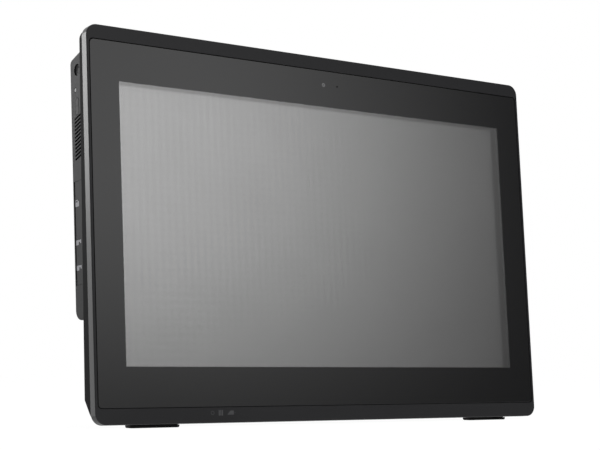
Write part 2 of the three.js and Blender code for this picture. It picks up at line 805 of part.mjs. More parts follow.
const cableX = -halfHousing + boardLeft + cableIn;
const cableZ = boardLow + boardHeight + 5;

function displayCable() {
  const low = trayRear + gap;
  const high = boardRear + gap;
  const thickness = 0.4;
  const points = [
    [high + thickness, cableZ - 14], [high + thickness, cableZ], [low, cableZ], [low, cableZ - 12],
    [low + thickness, cableZ - 12], [low + thickness, cableZ - thickness],
    [high, cableZ - thickness], [high, cableZ - 14],
  ];
  return slabX(outline(points), cableX - cableWidth / 2, cableX + cableWidth / 2);
}

function wirelessAntenna() {
  const inside = innerBack - gap;
  return block(housingScrewX - 60, housingScrewX - 12, inside - 1, inside,
    housingTop - 24, housingTop - 15);
}

// ---------------------------------------------------------------- connectors, mouth at z = 0 facing -z

function socket(width, height, depth, mouths, tongues) {
  const body = block(-width / 2, width / 2, 0, height, 0, depth);
  return join([cut(body, mouths), ...tongues]);
}

const usbMouth = { width: 12.5, height: 5.12, depth: 10.5 };
const usbWall = 0.45;
const usbRow = usbMouth.height + 1.8;

function usbSocket(rows) {
  const depth = usbMouth.depth + 3;
  const half = usbMouth.width / 2;
  const mouths = [];
  const tongues = [];
  for (let row = 0; row < rows; row += 1) {
    const low = usbWall + row * usbRow;
    mouths.push(block(-half, half, low, low + usbMouth.height, -1, usbMouth.depth));
    tongues.push(block(-half + 0.7, half - 0.7, low + 2.9, low + 4.7, 4.6, usbMouth.depth + 0.5));
  }
  const height = usbMouth.height + 2 * usbWall + (rows - 1) * usbRow;
  return socket(usbMouth.width + 2 * usbWall, height, depth, mouths, tongues);
}

function lanSocket() {
  return socket(portWidths.lan_port_left, 13.4, 20, [
    block(-5.9, 5.9, 2.4, 9.2, -1, 13),
    block(-3.1, 3.1, 9.1, 11.4, -1, 13),
  ], [block(-4, 4, 2.2, 3, 6, 13.2)]);
}

function hdmiSocket() {
  const mouth = slabZ(outline([[-5.4, 0.8], [5.4, 0.8], [7.1, 2.6], [7.1, 5.5], [-7.1, 5.5], [-7.1, 2.6]]), -1, 9);
  return socket(portWidths.hdmi_port, 6.2, 11, [mouth], [block(-5, 5, 2.9, 4, 4.7, 9.5)]);
}

function dcJack() {
  return socket(portWidths.dc_jack, 11, 14, [rod("z", 3.2, -1, 9.5, 0, 5.6, 24)],
    [rod("z", 1, 1, 10, 0, 5.6, 12)]);
}

function audioJack() {
  const body = block(-3.5, 3.5, 0, 6.4, 0, 12);
  return cut(body, [rod("z", 1.8, -1, 10, 0, 3.2, 16)]);
}

function cardReader() {
  const body = block(-13, 13, 0, 3.4, 0, 27);
  return cut(body, [block(-12.1, 12.1, 0.5, 2.9, -1, 22)]);
}

function portPlateSheet(ports) {
  const sheetPlate = block(bayStart - bayEnd, bayRight + bayEnd, thinBack(housingBottom) + 0.5,
    innerBack - gap, portMouth, portMouth + portPlate);
  return cut(sheetPlate, ports.map(({ x, width, height }) => block(
    x - width / 2 - gap, x + width / 2 + gap, boardRear, boardRear + gap + height + gap,
    portMouth - 1, portMouth + portPlate + 1,
  )));
}

// ---------------------------------------------------------------- stand, feet and screws

function standBracket() {
  const front = housingDepth + gap;
  const rear = front + bracketThickness;
  const low = housingBottom + bracketRise;
  const plate = slabY(
    rectangle(-bracketWidth / 2, bracketWidth / 2, low, low + bracketHeight, 4), front, rear,
  );
  const earRadius = legBarrelRadius + 0.6;
  const earShape = outline(
    [[rear - 0.5, low + 1], [pivotDepth + earRadius, pivotZ - earRadius],
      [pivotDepth + earRadius, pivotZ + earRadius], [rear - 0.5, low + bracketHeight - 1]],
    [0, earRadius - 0.8, earRadius - 0.8, 0],
  );
  const earX = legWidth / 2 + gap;
  const ears = [-earX - earThickness, earX].map((x) => slabX(earShape, x, x + earThickness));
  const holes = bracketScrewPoints.map(([x, z]) => rod("y", screwRadius + gap, front - 1, rear + 1, x, z));
  const bore = rod("x", pinRadius + gap, -earX - 9, earX + 9, pivotDepth, pivotZ);
  return cut(join([plate, ...ears]), [...holes, bore]);
}

function standPin() {
  const end = legWidth / 2 + 2 * gap + earThickness;
  const head = 1.4;
  const profile = [
    [0, 0], [pinRadius + 1.2, 0], [pinRadius + 1.2, head], [pinRadius, head],
    [pinRadius, head + 2 * end], [pinRadius + 1.2, head + 2 * end],
    [pinRadius + 1.2, 2 * head + 2 * end], [0, 2 * head + 2 * end],
  ];
  return turned("x", profile, 20).translate([-end - head, pivotDepth, pivotZ]);
}

const padRise = 2.5; // leg's end above the floor

/** Leg hanging straight down from its hinge at the origin. */
function standLeg() {
  const half = legWidth / 2;
  const end = legLength - padRise / Math.cos(legAngle);
  const plate = slabY(
    outline([[-half, -end], [half, -end], [half, -2], [-half, -2]], [6, 6, 0, 0]),
    -legThickness / 2, legThickness / 2,
  );
  const middle = -legLength * 0.5;
  const hole = slabY(
    rectangle(-cableHoleWidth / 2, cableHoleWidth / 2, middle - cableHoleHeight / 2,
      middle + cableHoleHeight / 2, 7),
    -legThickness, legThickness,
  );
  const barrel = rod("x", legBarrelRadius, -half, half, 0, 0, 28);
  return cut(join([plate, barrel]), [hole, rod("x", pinRadius + gap, -half - 1, half + 1, 0, 0)]);
}

/** Rubber foot on the leg's end, drawn where the leg stands on the floor and turned to hang with it. */
function standPad() {
  const profile = [[-padDepth / 2, 0], [padDepth / 2, 0], [1, padHeight], [-padDepth / 2, padHeight]];
  const half = legWidth / 2 + 2;
  const rubberBlock = slabX(outline(profile, [1, 1, 1.5, 1.5], 3), -half, half);
  const slotShape = rectangle(-legThickness / 2 - gap, legThickness / 2 + gap, -padRise - 6, 40);
  const slot = slabX(slotShape, -half + 1.6, half - 1.6);
  const lift = (padRise - gap) / Math.cos(legAngle);
  const along = slot.translate([0, 0, padRise + 6 + lift]).rotate([legAngle / degree, 0, 0]);
  return cut(rubberBlock, [along]).rotate([-legAngle / degree, 0, 0]).translate([0, 0, -legLength]);
}

/** Rubber foot under the front frame, its top following the bevel; side is -1 or 1. */
function foot(side) {
  const shellFront = frameDepth + gap;
  const slope = (bevelRise - bevelStart) / (depthAtBottom - shellFront);
  const drop = gap * Math.hypot(1, slope);
  const bevelAt = (y) => bevelStart + (y - shellFront) * slope - drop;
  const profile = [
    [footFront, floorAt(footFront)], [footBack, floorAt(footBack)], [footBack, bevelAt(footBack)],
    [shellFront, bevelAt(shellFront)], [shellFront, -gap], [footFront, -gap],
  ];
  const x = side * footCentre;
  const half = footLength / 2;
  const low = -footHeight - 1;
  const ends = outline([
    [x - half + 1.4, low], [x + half - 1.4, low], [x + half, 0], [x + half, 12], [x - half, 12], [x - half, 0],
  ]);
  return slabX(outline(profile), x - half, x + half).intersect(slabY(ends, footFront - 1, footBack + 1));
}

/** Pan-head screw pointing to -y, with its head's underside at the origin. */
function screw(length) {
  const profile = [
    [0, -length], [screwRadius, -length], [screwRadius, 0], [headRadius, 0],
    [headRadius, headThickness * 0.6], [headRadius * 0.75, headThickness], [0, headThickness],
  ];
  const recess = join([block(-1.6, 1.6, 0.5, 2, -0.4, 0.4), block(-0.4, 0.4, 0.5, 2, -1.6, 1.6)]);
  return cut(turned("y", profile, 18), [recess]);
}

// ---------------------------------------------------------------- assembly

const panel = new THREE.Group();
panel.rotation.x = -lean;
panel.position.z = footLift;

add(panel, "front_frame", frontFrame(), framePlastic);
add(panel, "touch_glass", touchGlass(), blackGlass);
add(panel, "glass_tape", glassTape(), adhesive);
add(panel, "display_cell", displayCell(), displayFace);
add(panel, "backlight_tray", backlightTray(), steel);
add(panel, "display_bracket_left", displayBracket(-1), steel);
add(panel, "display_bracket_right", displayBracket(1), steel);
add(panel, "camera_module", cameraModule(), boardGreen);
add(panel, "camera_lens", cameraLens(), chipBlack);
add(panel, "microphone", microphone(), steel);
add(panel, "touch_board", touchBoard(), boardGreen);
add(panel, "indicator_board", indicatorBoard(), boardGreen);

add(panel, "body_shell", bodyShell(), bodyPlastic);
add(panel, "rear_housing", rearHousing(), housingPlastic);

add(panel, "power_button", powerButton(), buttonPlastic);
add(panel, "volume_rocker", volumeRocker(), buttonPlastic);
add(panel, "status_light", statusLight(), clearPlastic);
add(panel, "power_board", powerBoard(), boardGreen);
add(panel, "speaker_left", speaker(-1), chipBlack);
add(panel, "speaker_right", speaker(1), chipBlack);
add(panel, "port_door", portDoor(), housingPlastic);
add(panel, "port_door_pin", portDoorPin(), steel);

add(panel, "chassis_plate", chassisPlate(), steel);
add(panel, "main_board", mainBoard(), boardGreen);
add(panel, "processor", processor(), chipBlack);
add(panel, "heatsink", heatsink(), aluminium);
add(panel, "memory_module_lower", memoryModule(0), boardGreen);
add(panel, "memory_module_upper", memoryModule(1), boardGreen);
add(panel, "wireless_card", wirelessCard(), boardGreen);
add(panel, "wireless_antenna", wirelessAntenna(), chipBlack);
add(panel, "drive_bracket", driveBracket(), steel);
add(panel, "drive", drive(), aluminium);
add(panel, "side_port_board", sidePortBoard(), boardGreen);
add(panel, "display_cable", displayCable(), cableFoil);

const portShapes = {
  dc_jack: { shape: dcJack(), height: 11, material: portInsert },
  hdmi_port: { shape: hdmiSocket(), height: 6.2, material: steel },
  lan_port_left: { shape: lanSocket(), height: 13.4, material: steel },
  lan_port_right: { shape: lanSocket(), height: 13.4, material: steel },
  usb_stack_left: { shape: usbSocket(2), height: usbRow + usbMouth.height + 2 * usbWall, material: steel },
  usb_stack_right: { shape: usbSocket(2), height: usbRow + usbMouth.height + 2 * usbWall, material: steel },
  headphone_jack: { shape: audioJack(), height: 6.4, material: portInsert },
  microphone_jack: { shape: audioJack(), height: 6.4, material: portInsert },
};
const bottomPorts = [];
let portX = bayStart + bayMargin;
for (const [name, width] of Object.entries(portWidths)) {
  const { shape, height, material } = portShapes[name];
  const x = portX + width / 2;
  add(panel, name, shape, material).position.set(x, boardRear + gap, portMouth);
  bottomPorts.push({ x, width, height });
  portX += width + portSpacing;
}
add(panel, "port_plate", portPlateSheet(bottomPorts), blackSteel);

const sidePortX = -halfHousing + doorThickness + 0.7;
const sidePortDrops = { card_reader: 14, side_usb_upper: 41, side_usb_lower: 58.4 };
for (const [name, drop] of Object.entries(sidePortDrops)) {
  const shape = name === "card_reader" ? cardReader() : usbSocket(1);
  const port = add(panel, name, shape, steel);
  port.rotation.y = Math.PI / 2;
  port.position.set(sidePortX, sidePortBoardRear + gap, doorTop - drop);
}

add(panel, "stand_bracket", standBracket(), blackSteel);
add(panel, "stand_pin", standPin(), steel);
add(panel, "foot_left", foot(-1), rubber);
add(panel, "foot_right", foot(1), rubber);

bracketScrewPoints.forEach(([x, z], i) => {
  const mesh = add(panel, `bracket_screw_${i + 1}`, screw(3.9), steel);
  mesh.position.set(x, housingDepth + 2 * gap + bracketThickness, z);
});
housingScrewPoints.forEach(([x, z], i) => {
  const mesh = add(panel, `housing_screw_${i + 1}`, screw(9), steel);
  mesh.position.set(x, housingDepth - headThickness, z);
});

const leg = new THREE.Group();
leg.position.set(0, pivotDepth, pivotZ);
leg.rotation.x = legAngle + lean;
add(leg, "stand_leg", standLeg(), blackSteel);
add(leg, "stand_pad", standPad(), rubber);
panel.add(leg);

const computer = new THREE.Group();
computer.add(panel);
computer.updateMatrixWorld(true);
const extent = new THREE.Box3().setFromObject(computer, true);
computer.position.y = -(extent.min.y + extent.max.y) / 2;

export default computer;
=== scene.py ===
"""The looks of an all-in-one touch computer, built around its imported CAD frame.

Most pieces are modelled upright, in the panel's own frame: x to the right, y into the depth from
the front face and z up from the lower edge, in metres. Each is then leaned back as the panel is,
and it rides on the CAD body that carries it.
"""

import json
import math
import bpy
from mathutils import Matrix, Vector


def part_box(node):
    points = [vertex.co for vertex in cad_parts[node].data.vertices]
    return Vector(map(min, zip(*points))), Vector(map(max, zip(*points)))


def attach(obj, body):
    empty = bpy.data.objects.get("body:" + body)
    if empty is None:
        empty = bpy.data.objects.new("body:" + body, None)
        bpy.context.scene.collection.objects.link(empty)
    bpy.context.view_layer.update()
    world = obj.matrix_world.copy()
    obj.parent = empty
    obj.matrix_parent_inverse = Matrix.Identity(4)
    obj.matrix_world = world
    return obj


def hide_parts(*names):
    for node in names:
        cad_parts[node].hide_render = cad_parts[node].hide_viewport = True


bl_info = {
    "name": "All-in-one touch computer",
    "version": (1, 0, 0),
    "blender": (4, 5, 0),
    "location": "View3D > Sidebar > Computer",
    "description": "Models and finishes the pieces of an all-in-one touch computer",
    "category": "Add Mesh",
}

from contextlib import contextmanager

import bmesh
import bpy
from bpy.props import FloatProperty, FloatVectorProperty, IntProperty, PointerProperty
from mathutils import Matrix, Vector

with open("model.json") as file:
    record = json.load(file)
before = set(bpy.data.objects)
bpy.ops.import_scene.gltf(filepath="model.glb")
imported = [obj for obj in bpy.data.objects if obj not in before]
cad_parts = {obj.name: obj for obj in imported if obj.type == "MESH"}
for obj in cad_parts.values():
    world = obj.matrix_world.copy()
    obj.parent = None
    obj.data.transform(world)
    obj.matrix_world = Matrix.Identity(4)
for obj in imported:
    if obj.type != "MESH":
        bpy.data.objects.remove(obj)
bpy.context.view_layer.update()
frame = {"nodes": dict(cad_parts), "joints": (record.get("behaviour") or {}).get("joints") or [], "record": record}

X, Y, Z = 0, 1, 2
MM = 0.001
PANEL_LEAN = math.radians(4)
SEAT_GAP = 0.3 * MM  # clearance between neighbouring pieces
ROCKER_GAP = 0.18 * MM  # round the volume rocker
DOOR_GAP = 0.15 * MM  # above and below the side door
SAFE = 1 * MM  # how far a cutter stands clear of what it cuts

JOINTS = {joint["name"]: joint for joint in frame["joints"]}
SLOTS = {part["node"]: part["material_slot"] for part in frame["record"]["subparts"]}


def panel_place():
    """Matrix that takes the upright panel to its leaning place."""
    lean = Matrix.Rotation(-PANEL_LEAN, 4, "X")
    upright = lean.inverted()
    corners = [upright @ v.co for v in frame["nodes"]["front_frame"].data.vertices]
    origin = Vector((0, min(c.y for c in corners), min(c.z for c in corners)))
    return lean @ Matrix.Translation(origin)


PANEL = panel_place()
PANEL_ORIGIN = Matrix.Rotation(PANEL_LEAN, 4, "X") @ PANEL.translation


def panel_box(node):
    """A CAD node's lowest and highest corner in the upright panel's frame."""
    upright = PANEL.inverted()
    corners = [upright @ v.co for v in frame["nodes"][node].data.vertices]
    low = Vector([min(c[axis] for c in corners) for axis in (X, Y, Z)])
    high = Vector([max(c[axis] for c in corners) for axis in (X, Y, Z)])
    return low, high


def panel_middle(node):
    low, high = panel_box(node)
    return (low + high) / 2


# ---------------------------------------------------------------- sizes and colours


def length(name, description, default):
    return FloatProperty(name=name, description=description, default=default, unit="LENGTH", min=0)


def colour(name, description, default):
    return FloatVectorProperty(
        name=name, description=description, default=default, subtype="COLOR", size=3, min=0, max=1,
    )


def share(name, description, default):
    return FloatProperty(
        name=name, description=description, default=default, subtype="FACTOR", min=0, max=1,
    )


class FrontSettings(bpy.types.PropertyGroup):
    """Sizes and colours of the frame, glass and display"""

    corner_radius: length("Corner radius", "Outer corners of the front frame", 8 * MM)
    rim_radius: length("Rim radius", "Rounding of the frame's front rim", 0.5 * MM)
    glass_corner: length("Glass corner", "Corner radius of the cover glass", 3 * MM)
    glass_seam: length("Glass seam", "Seam between the glass and the frame", 0.5 * MM)
    frame_wall: length("Frame wall", "Wall of the frame behind its ledge", 2 * MM)
    window_margin: length("Window margin", "Frame window beyond the lit area", 4 * MM)
    cell_margin: length("Cell margin", "Display cell beyond its lit area", 6 * MM)
    sound_hole: length("Sound hole", "Radius of the microphone hole in the glass", 0.6 * MM)
    frame_colour: colour("Frame colour", "Satin plastic of the front frame", (0.015, 0.015, 0.0165))
    ink_colour: colour("Border colour", "Ink behind the glass's border", (0.012, 0.012, 0.0125))
    ring_colour: colour("Camera ring", "Print round the camera's window", (0.13, 0.13, 0.133))
    display_colour: colour("Display colour", "Display face, switched off", (0.405, 0.405, 0.404))
    sensor_pitch: length("Sensor pitch", "Distance between the touch sensor's rows", 5.6 * MM)
    band_coat: share("Band coat", "Clear coat on the frame's outer side band", 0.42)
    glass_veil: share("Glass veil", "Anti-glare haze over the display", 0.5)


class HousingSettings(bpy.types.PropertyGroup):
    """Sizes and colours of the thin body and the raised housing"""

    body_wall: length("Body wall", "Wall of the thin body", 2 * MM)
    body_inset: length("Body inset", "Thin body inside the frame's outline", 0.6 * MM)
    body_draft: length("Body draft", "Further inset at the back of the thin body", 1.4 * MM)
    top_depth: length("Depth at the top", "Front face to the thin body's back at the top", 13 * MM)
    bevel_rise: length("Bevel rise", "Height of the bevel under the thin body", 17.4 * MM)
    wall: length("Housing wall", "Wall of the raised housing", 2.2 * MM)
    low_radius: length("Lower radius", "Lower rear edge of the housing", 7 * MM)
    high_radius: length("Upper radius", "Upper rear edge of the housing", 3.5 * MM)
    side_radius: length("Side radius", "Edge between the housing's sides and back", 1.5 * MM)
    top_fall: length("Top fall", "Fall of the housing's top, front to back", 5.6 * MM)
    slot_count: IntProperty(
        name="Sound slots", description="Sound slots on each side", default=12, min=1,
    )
    slot_pitch: length("Slot pitch", "Distance between sound slots", 2.54 * MM)
    slot_length: length("Slot length", "Length of a sound slot", 10.5 * MM)
    slot_height: length("Slot height", "Height of a sound slot", 1.45 * MM)
    slot_drop: length("Slot drop", "First sound slot below the rocker's centre", 7.3 * MM)
    slot_turn: FloatProperty(
        name="Slot turn", description="Slant of a sound slot", default=math.radians(14),
        subtype="ANGLE",
    )
    vent_count: IntProperty(
        name="Vents", description="Vents in the back and in the top", default=22, min=1,
    )
    vent_pitch: length("Vent pitch", "Distance between vents", 8 * MM)
    vent_width: length("Vent width", "Width of a vent", 3 * MM)
    vent_height: length("Vent height", "Height of a back vent", 24 * MM)
    vent_drop: length("Vent drop", "Back vents below the housing's top", 12 * MM)
    mount_pitch: length("Mount pitch", "Distance between wall mount holes", 100 * MM)
    mount_drop: length("Mount drop", "Wall mount below the housing's top", 93 * MM)
    key_radius: length("Button radius", "Cap of the power button", 3.7 * MM)
    key_recess: length("Button recess", "Power button's cap inside the housing's side", 0.9 * MM)
    rocker_reach: length("Rocker reach", "Half the length of the volume rocker", 6 * MM)
    rocker_width: length("Rocker width", "Half the width of the volume rocker", 2.5 * MM)
    door_thickness: length("Door thickness", "Panel of the side door", 1.8 * MM)
    body_colour: colour("Body colour", "Textured plastic of the thin body", (0.007, 0.007, 0.0076))
    housing_colour: colour("Housing colour", "Plastic of the housing", (0.025, 0.025, 0.026))
    print_colour: colour("Print colour", "Printed port symbols", (0.36, 0.36, 0.38))


class StandSettings(bpy.types.PropertyGroup):
    """Sizes of the stand"""

    leg_angle: FloatProperty(
        name="Leg angle", description="Leg from the vertical", default=math.radians(50),
        subtype="ANGLE",
    )
    leg_thickness: length("Leg thickness", "Sheet of the leg", 3 * MM)
    barrel_radius: length("Barrel radius", "Rolled barrel on the leg", 5 * MM)
    pin_radius: length("Pin radius", "Hinge pin", 2.5 * MM)
    ear_thickness: length("Ear thickness", "Ears of the bracket", 3 * MM)
    plate_thickness: length("Plate thickness", "Plate of the bracket", 2 * MM)
    hole_width: length("Cable hole width", "Cable hole in the leg", 50 * MM)
    hole_height: length("Cable hole height", "Cable hole in the leg", 26 * MM)
    pad_rise: length("Pad rise", "End of the leg above the floor", 2.5 * MM)


class StudioSettings(bpy.types.PropertyGroup):
    """Camera and light"""

    lens: FloatProperty(
        name="Lens", description="Focal length in millimetres", default=90.045, min=1,
    )
    shift: FloatProperty(name="Shift", description="Vertical shift of the camera", default=0.0975)
    camera_place: FloatVectorProperty(
        name="Camera place", description="Where the camera stands",
        default=(-0.64943, -0.9602, 0.03697), subtype="TRANSLATION", unit="LENGTH",
    )
    azimuth: FloatProperty(
        name="Azimuth", description="Camera's heading from the depth axis",
        default=math.radians(35), subtype="ANGLE",
    )
    elevation: FloatProperty(
        name="Elevation", description="Camera's tilt above level", default=math.radians(3.4),
        subtype="ANGLE",
    )
    ambient: FloatProperty(
        name="Ambient", description="Even light from all round", default=0.42, min=0,
    )
    softbox: FloatProperty(
        name="Softbox", description="Brightness of the front softbox", default=1.5, min=0,
    )
    key_power: FloatProperty(
        name="Key light", description="Large overhead lamp", default=9, min=0, subtype="POWER",
    )
    rim_power: FloatProperty(
        name="Rim light", description="Lamp behind the left side", default=8, min=0,
        subtype="POWER",
    )


# ---------------------------------------------------------------- modelling by hand


def deselect():
    if bpy.context.mode != "OBJECT":
        bpy.ops.object.mode_set(mode="OBJECT")
    bpy.ops.object.select_all(action="DESELECT")


def activate(obj):
    deselect()
    obj.select_set(True)
    bpy.context.view_layer.objects.active = obj


def settle(name):
    """Names the new primitive and puts its place into its mesh."""
    obj = bpy.context.object
    obj.name = obj.data.name = name
    bpy.ops.object.transform_apply(location=True, rotation=True, scale=True)
    return obj


def add_block(name, low, high):
    low, high = Vector(low), Vector(high)
    deselect()
    bpy.ops.mesh.primitive_cube_add(size=1, location=(low + high) / 2, scale=high - low)
    return settle(name)


def add_rod(name, start, end, radius, sides=32):
    start, end = Vector(start), Vector(end)
    axis = end - start
    deselect()
    bpy.ops.mesh.primitive_cylinder_add(
        vertices=sides, radius=radius, depth=axis.length, location=(start + end) / 2,
        rotation=axis.to_track_quat("Z", "Y").to_euler(),
    )
    return settle(name)


@contextmanager
def editing(obj, kind):
    """Edit mode on one piece, with nothing selected."""
    activate(obj)
    bpy.ops.object.mode_set(mode="EDIT")
    bpy.ops.mesh.select_mode(type=kind)
    bpy.ops.mesh.select_all(action="DESELECT")
    yield
    bpy.ops.object.mode_set(mode="OBJECT")


def pick(obj, kind, test):
    """In edit mode, selects the edges or faces that pass the test."""
    mesh = bmesh.from_edit_mesh(obj.data)
    items = mesh.edges if kind == "EDGE" else mesh.faces
    for item in items:
        if test(item):
            item.select_set(True)
    bmesh.update_edit_mesh(obj.data)


def near(a, b):
    return abs(a - b) < 0.01 * MM


def at(axis, *places):
    """Test for an item whose corners all lie at one of these places on an axis."""
    return lambda item: any(all(near(v.co[axis], place) for v in item.verts) for place in places)


def along(axis):
    """Test for an edge parallel to an axis."""

    def test(edge):
        start, end = (v.co for v in edge.verts)
        return all(near(start[other], end[other]) for other in (X, Y, Z) if other != axis)

    return test


def all_of(*tests):
    return lambda item: all(test(item) for test in tests)


def not_at(axis, place):
    return lambda item: not at(axis, place)(item)


def round_edges(obj, test, radius, segments):
    with editing(obj, "EDGE"):
        pick(obj, "EDGE", test)
        bpy.ops.mesh.bevel(offset=radius, segments=segments, affect="EDGES", clamp_overlap=False)


def slice_off(obj, point, normal):
    """Cuts away all that lies on the normal's side of a plane, and closes the cut."""
    with editing(obj, "FACE"):
        bpy.ops.mesh.select_all(action="SELECT")
        bpy.ops.mesh.bisect(plane_co=point, plane_no=normal, use_fill=True, clear_outer=True)


def scale_face(obj, test, factors, centre):
    with editing(obj, "FACE"):
        pick(obj, "FACE", test)
        bpy.ops.transform.resize(value=factors, center_override=centre)


def dish(obj, test, steps):
    """Insets a face again and again, moving it along by a vector after each inset."""
    with editing(obj, "FACE"):
        pick(obj, "FACE", test)
        for thickness, move in steps:
            bpy.ops.mesh.inset(thickness=thickness, depth=0, use_boundary=True)
            bpy.ops.transform.translate(value=move)


def apply_modifier(obj, kind, **values):
    activate(obj)
    modifier = obj.modifiers.new(kind.title(), kind)
    for key, value in values.items():
        setattr(modifier, key, value)
    bpy.ops.object.modifier_apply(modifier=modifier.name)


def joined(pieces):
    deselect()
    for piece in pieces:
        piece.select_set(True)
    bpy.context.view_layer.objects.active = pieces[0]
    if len(pieces) > 1:
        bpy.ops.object.join()
    return pieces[0]


def combine(obj, operation, tools):
    """Cuts or joins a piece by others, which are used up."""
    tool = joined(tools)
    apply_modifier(obj, "BOOLEAN", operation=operation, solver="EXACT", object=tool)
    bpy.data.objects.remove(tool)
    with editing(obj, "VERT"):
        bpy.ops.mesh.select_all(action="SELECT")
        bpy.ops.mesh.remove_doubles(threshold=0.002 * MM)


def cut(obj, *tools):
    combine(obj, "DIFFERENCE", list(tools))


def weld(obj, *tools):
    combine(obj, "UNION", list(tools))


def repeat(obj, count, step):
    """A row of copies of one piece, joined to it."""
    apply_modifier(
        obj, "ARRAY", count=count, use_relative_offset=False, use_constant_offset=True,
        constant_offset_displace=step,
    )
    return obj


def smooth(obj, angle=35):
    """Smooth shading on curved faces, with flat faces kept flat up to their edges."""
    activate(obj)
    bpy.ops.object.shade_smooth_by_angle(angle=math.radians(angle))
    apply_modifier(obj, "WEIGHTED_NORMAL", keep_sharp=True, weight=100)


def soften(obj, width, segments=2, angle=40):
    """Rounds every sharp edge a little."""
    apply_modifier(
        obj, "BEVEL", width=width, segments=segments, limit_method="ANGLE",
        angle_limit=math.radians(angle), use_clamp_overlap=False,
    )
    smooth(obj)


def placed(obj, matrix):
    """Moves a piece by a matrix, with the move in its mesh."""
    obj.matrix_world = matrix
    activate(obj)
    bpy.ops.object.transform_apply(location=True, rotation=True, scale=True)
    return obj


def copied(obj, name):
    """A copy with its own mesh."""
    activate(obj)
    bpy.ops.object.duplicate(linked=False)
    copy = bpy.context.object
    copy.name = copy.data.name = name
    return copy


def paint(obj, slot):
    obj.data.materials.clear()
    obj.data.materials.append(material(slot))
    return obj


def hand_over(obj, body, *nodes, lean=True):
    """Gives a finished piece its place, its body and its finish, and hides the CAD parts it stands for."""
    if lean:
        placed(obj, PANEL)
    slot = SLOTS[nodes[0]]
    if not obj.data.materials:
        paint(obj, slot)
    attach(obj, body)
    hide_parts(*nodes)
    return obj


# ---------------------------------------------------------------- shader maths


class Signal:
    """An output socket, with arithmetic written as Python expressions."""

    def __init__(self, nodes, socket):
        self.nodes = nodes
        self.socket = socket

    def math(self, operation, *others):
        values = dict(enumerate((self, *others)))
        return self.nodes.make("ShaderNodeMath", {"operation": operation}, values)

    def flipped(self, operation, other):
        return self.nodes.make("ShaderNodeMath", {"operation": operation}, {0: other, 1: self})

    def __add__(self, other):
        return self.math("ADD", other)

    def __sub__(self, other):
        return self.math("SUBTRACT", other)

    def __mul__(self, other):
        return self.math("MULTIPLY", other)

    def __lt__(self, other):
        return self.math("LESS_THAN", other)

    def __gt__(self, other):
        return self.math("GREATER_THAN", other)

    def __rsub__(self, other):
        return self.flipped("SUBTRACT", other)

    __radd__ = __add__
    __rmul__ = __mul__

    def __abs__(self):
        return self.math("ABSOLUTE")


class Nodes:
    """One node tree, of a material or of the world."""

    def __init__(self, owner):
        owner.use_nodes = True
        self.tree = owner.node_tree
        self.tree.nodes.clear()

    def make(self, kind, settings=None, sockets=None, output=0):
        """Adds a node: its settings first, then its sockets' values or links."""
        node = self.tree.nodes.new(kind)
        for key, value in (settings or {}).items():
            if key == "stops":
                self.set_stops(node.color_ramp, value)
            else:
                setattr(node, key, value)
        for key, value in (sockets or {}).items():
            if isinstance(value, Signal):
                self.tree.links.new(value.socket, node.inputs[key])
            else:
                node.inputs[key].default_value = value
        return Signal(self, node.outputs[output]) if node.outputs else node

    @staticmethod
    def set_stops(ramp, stops):
        while len(ramp.elements) < len(stops):
            ramp.elements.new(1)
        for element, (place, shade) in zip(ramp.elements, stops):
            element.position = place
            element.color = shade

    def position(self):
        return self.make("ShaderNodeTexCoord", output="Object")

    def panel_position(self):
        """The point in the upright panel's frame."""
        return self.make(
            "ShaderNodeMapping", {"vector_type": "POINT"},
            {"Vector": self.position(), "Rotation": (PANEL_LEAN, 0, 0), "Location": -PANEL_ORIGIN},
        )

    def split(self, vector):
        return [self.make("ShaderNodeSeparateXYZ", {}, {0: vector}, axis) for axis in (X, Y, Z)]

    def noise(self, vector, size, detail=2.0):
        return self.make(
            "ShaderNodeTexNoise", {"noise_dimensions": "3D"},
            {"Vector": vector, "Scale": 1 / size, "Detail": detail},
        )

    def cells(self, vector, size):
        return self.make(
            "ShaderNodeTexVoronoi", {"feature": "SMOOTH_F1"},
            {"Vector": vector, "Scale": 1 / size, "Smoothness": 0.6},
        )

    def stretch(self, vector, factors):
        return self.make(
            "ShaderNodeMapping", {"vector_type": "POINT"}, {"Vector": vector, "Scale": factors},
        )

    def blend(self, factor, first, second):
        """A mix of two colours."""
        sockets = {0: factor, 6: rgba(first), 7: rgba(second)}
        return self.make("ShaderNodeMix", {"data_type": "RGBA"}, sockets, 2)

    def bump(self, height, distance, strength=1.0):
        return self.make(
            "ShaderNodeBump", {}, {"Height": height, "Distance": distance, "Strength": strength},
        )

    def ramp(self, value, low, high, smooth_step=True):
        """Rises from 0 to 1 between two values."""
        kind = "SMOOTHSTEP" if smooth_step else "LINEAR"
        return self.make(
            "ShaderNodeMapRange", {"interpolation_type": kind},
            {"Value": value, "From Min": low, "From Max": high},
        )

    def ray(self, kind):
        """1 for rays of one kind, 0 for the others."""
        return self.make("ShaderNodeLightPath", output=kind)

    def surface(self, sockets):
        shader = self.make("ShaderNodeBsdfPrincipled", {}, sockets)
        self.make("ShaderNodeOutputMaterial", {}, {"Surface": shader})


def rgba(shade):
    return shade if isinstance(shade, Signal) else (*shade, 1)


def scaled(shade, factor):
    return tuple(channel * factor for channel in shade)


def rectangle(x, z, centre, half):
    """1 inside a rectangle, 0 outside it."""
    return (abs(x - centre[0]) < half[0]) * (abs(z - centre[1]) < half[1])


def disc(x, z, centre, radius):
    """1 inside a circle, 0 outside it."""
    across, up = x - centre[0], z - centre[1]
    return (across * across + up * up) < radius * radius


# ---------------------------------------------------------------- finishes


def new_material(name):
    made = bpy.data.materials.new(f"{name}_finish")
    return made, Nodes(made)


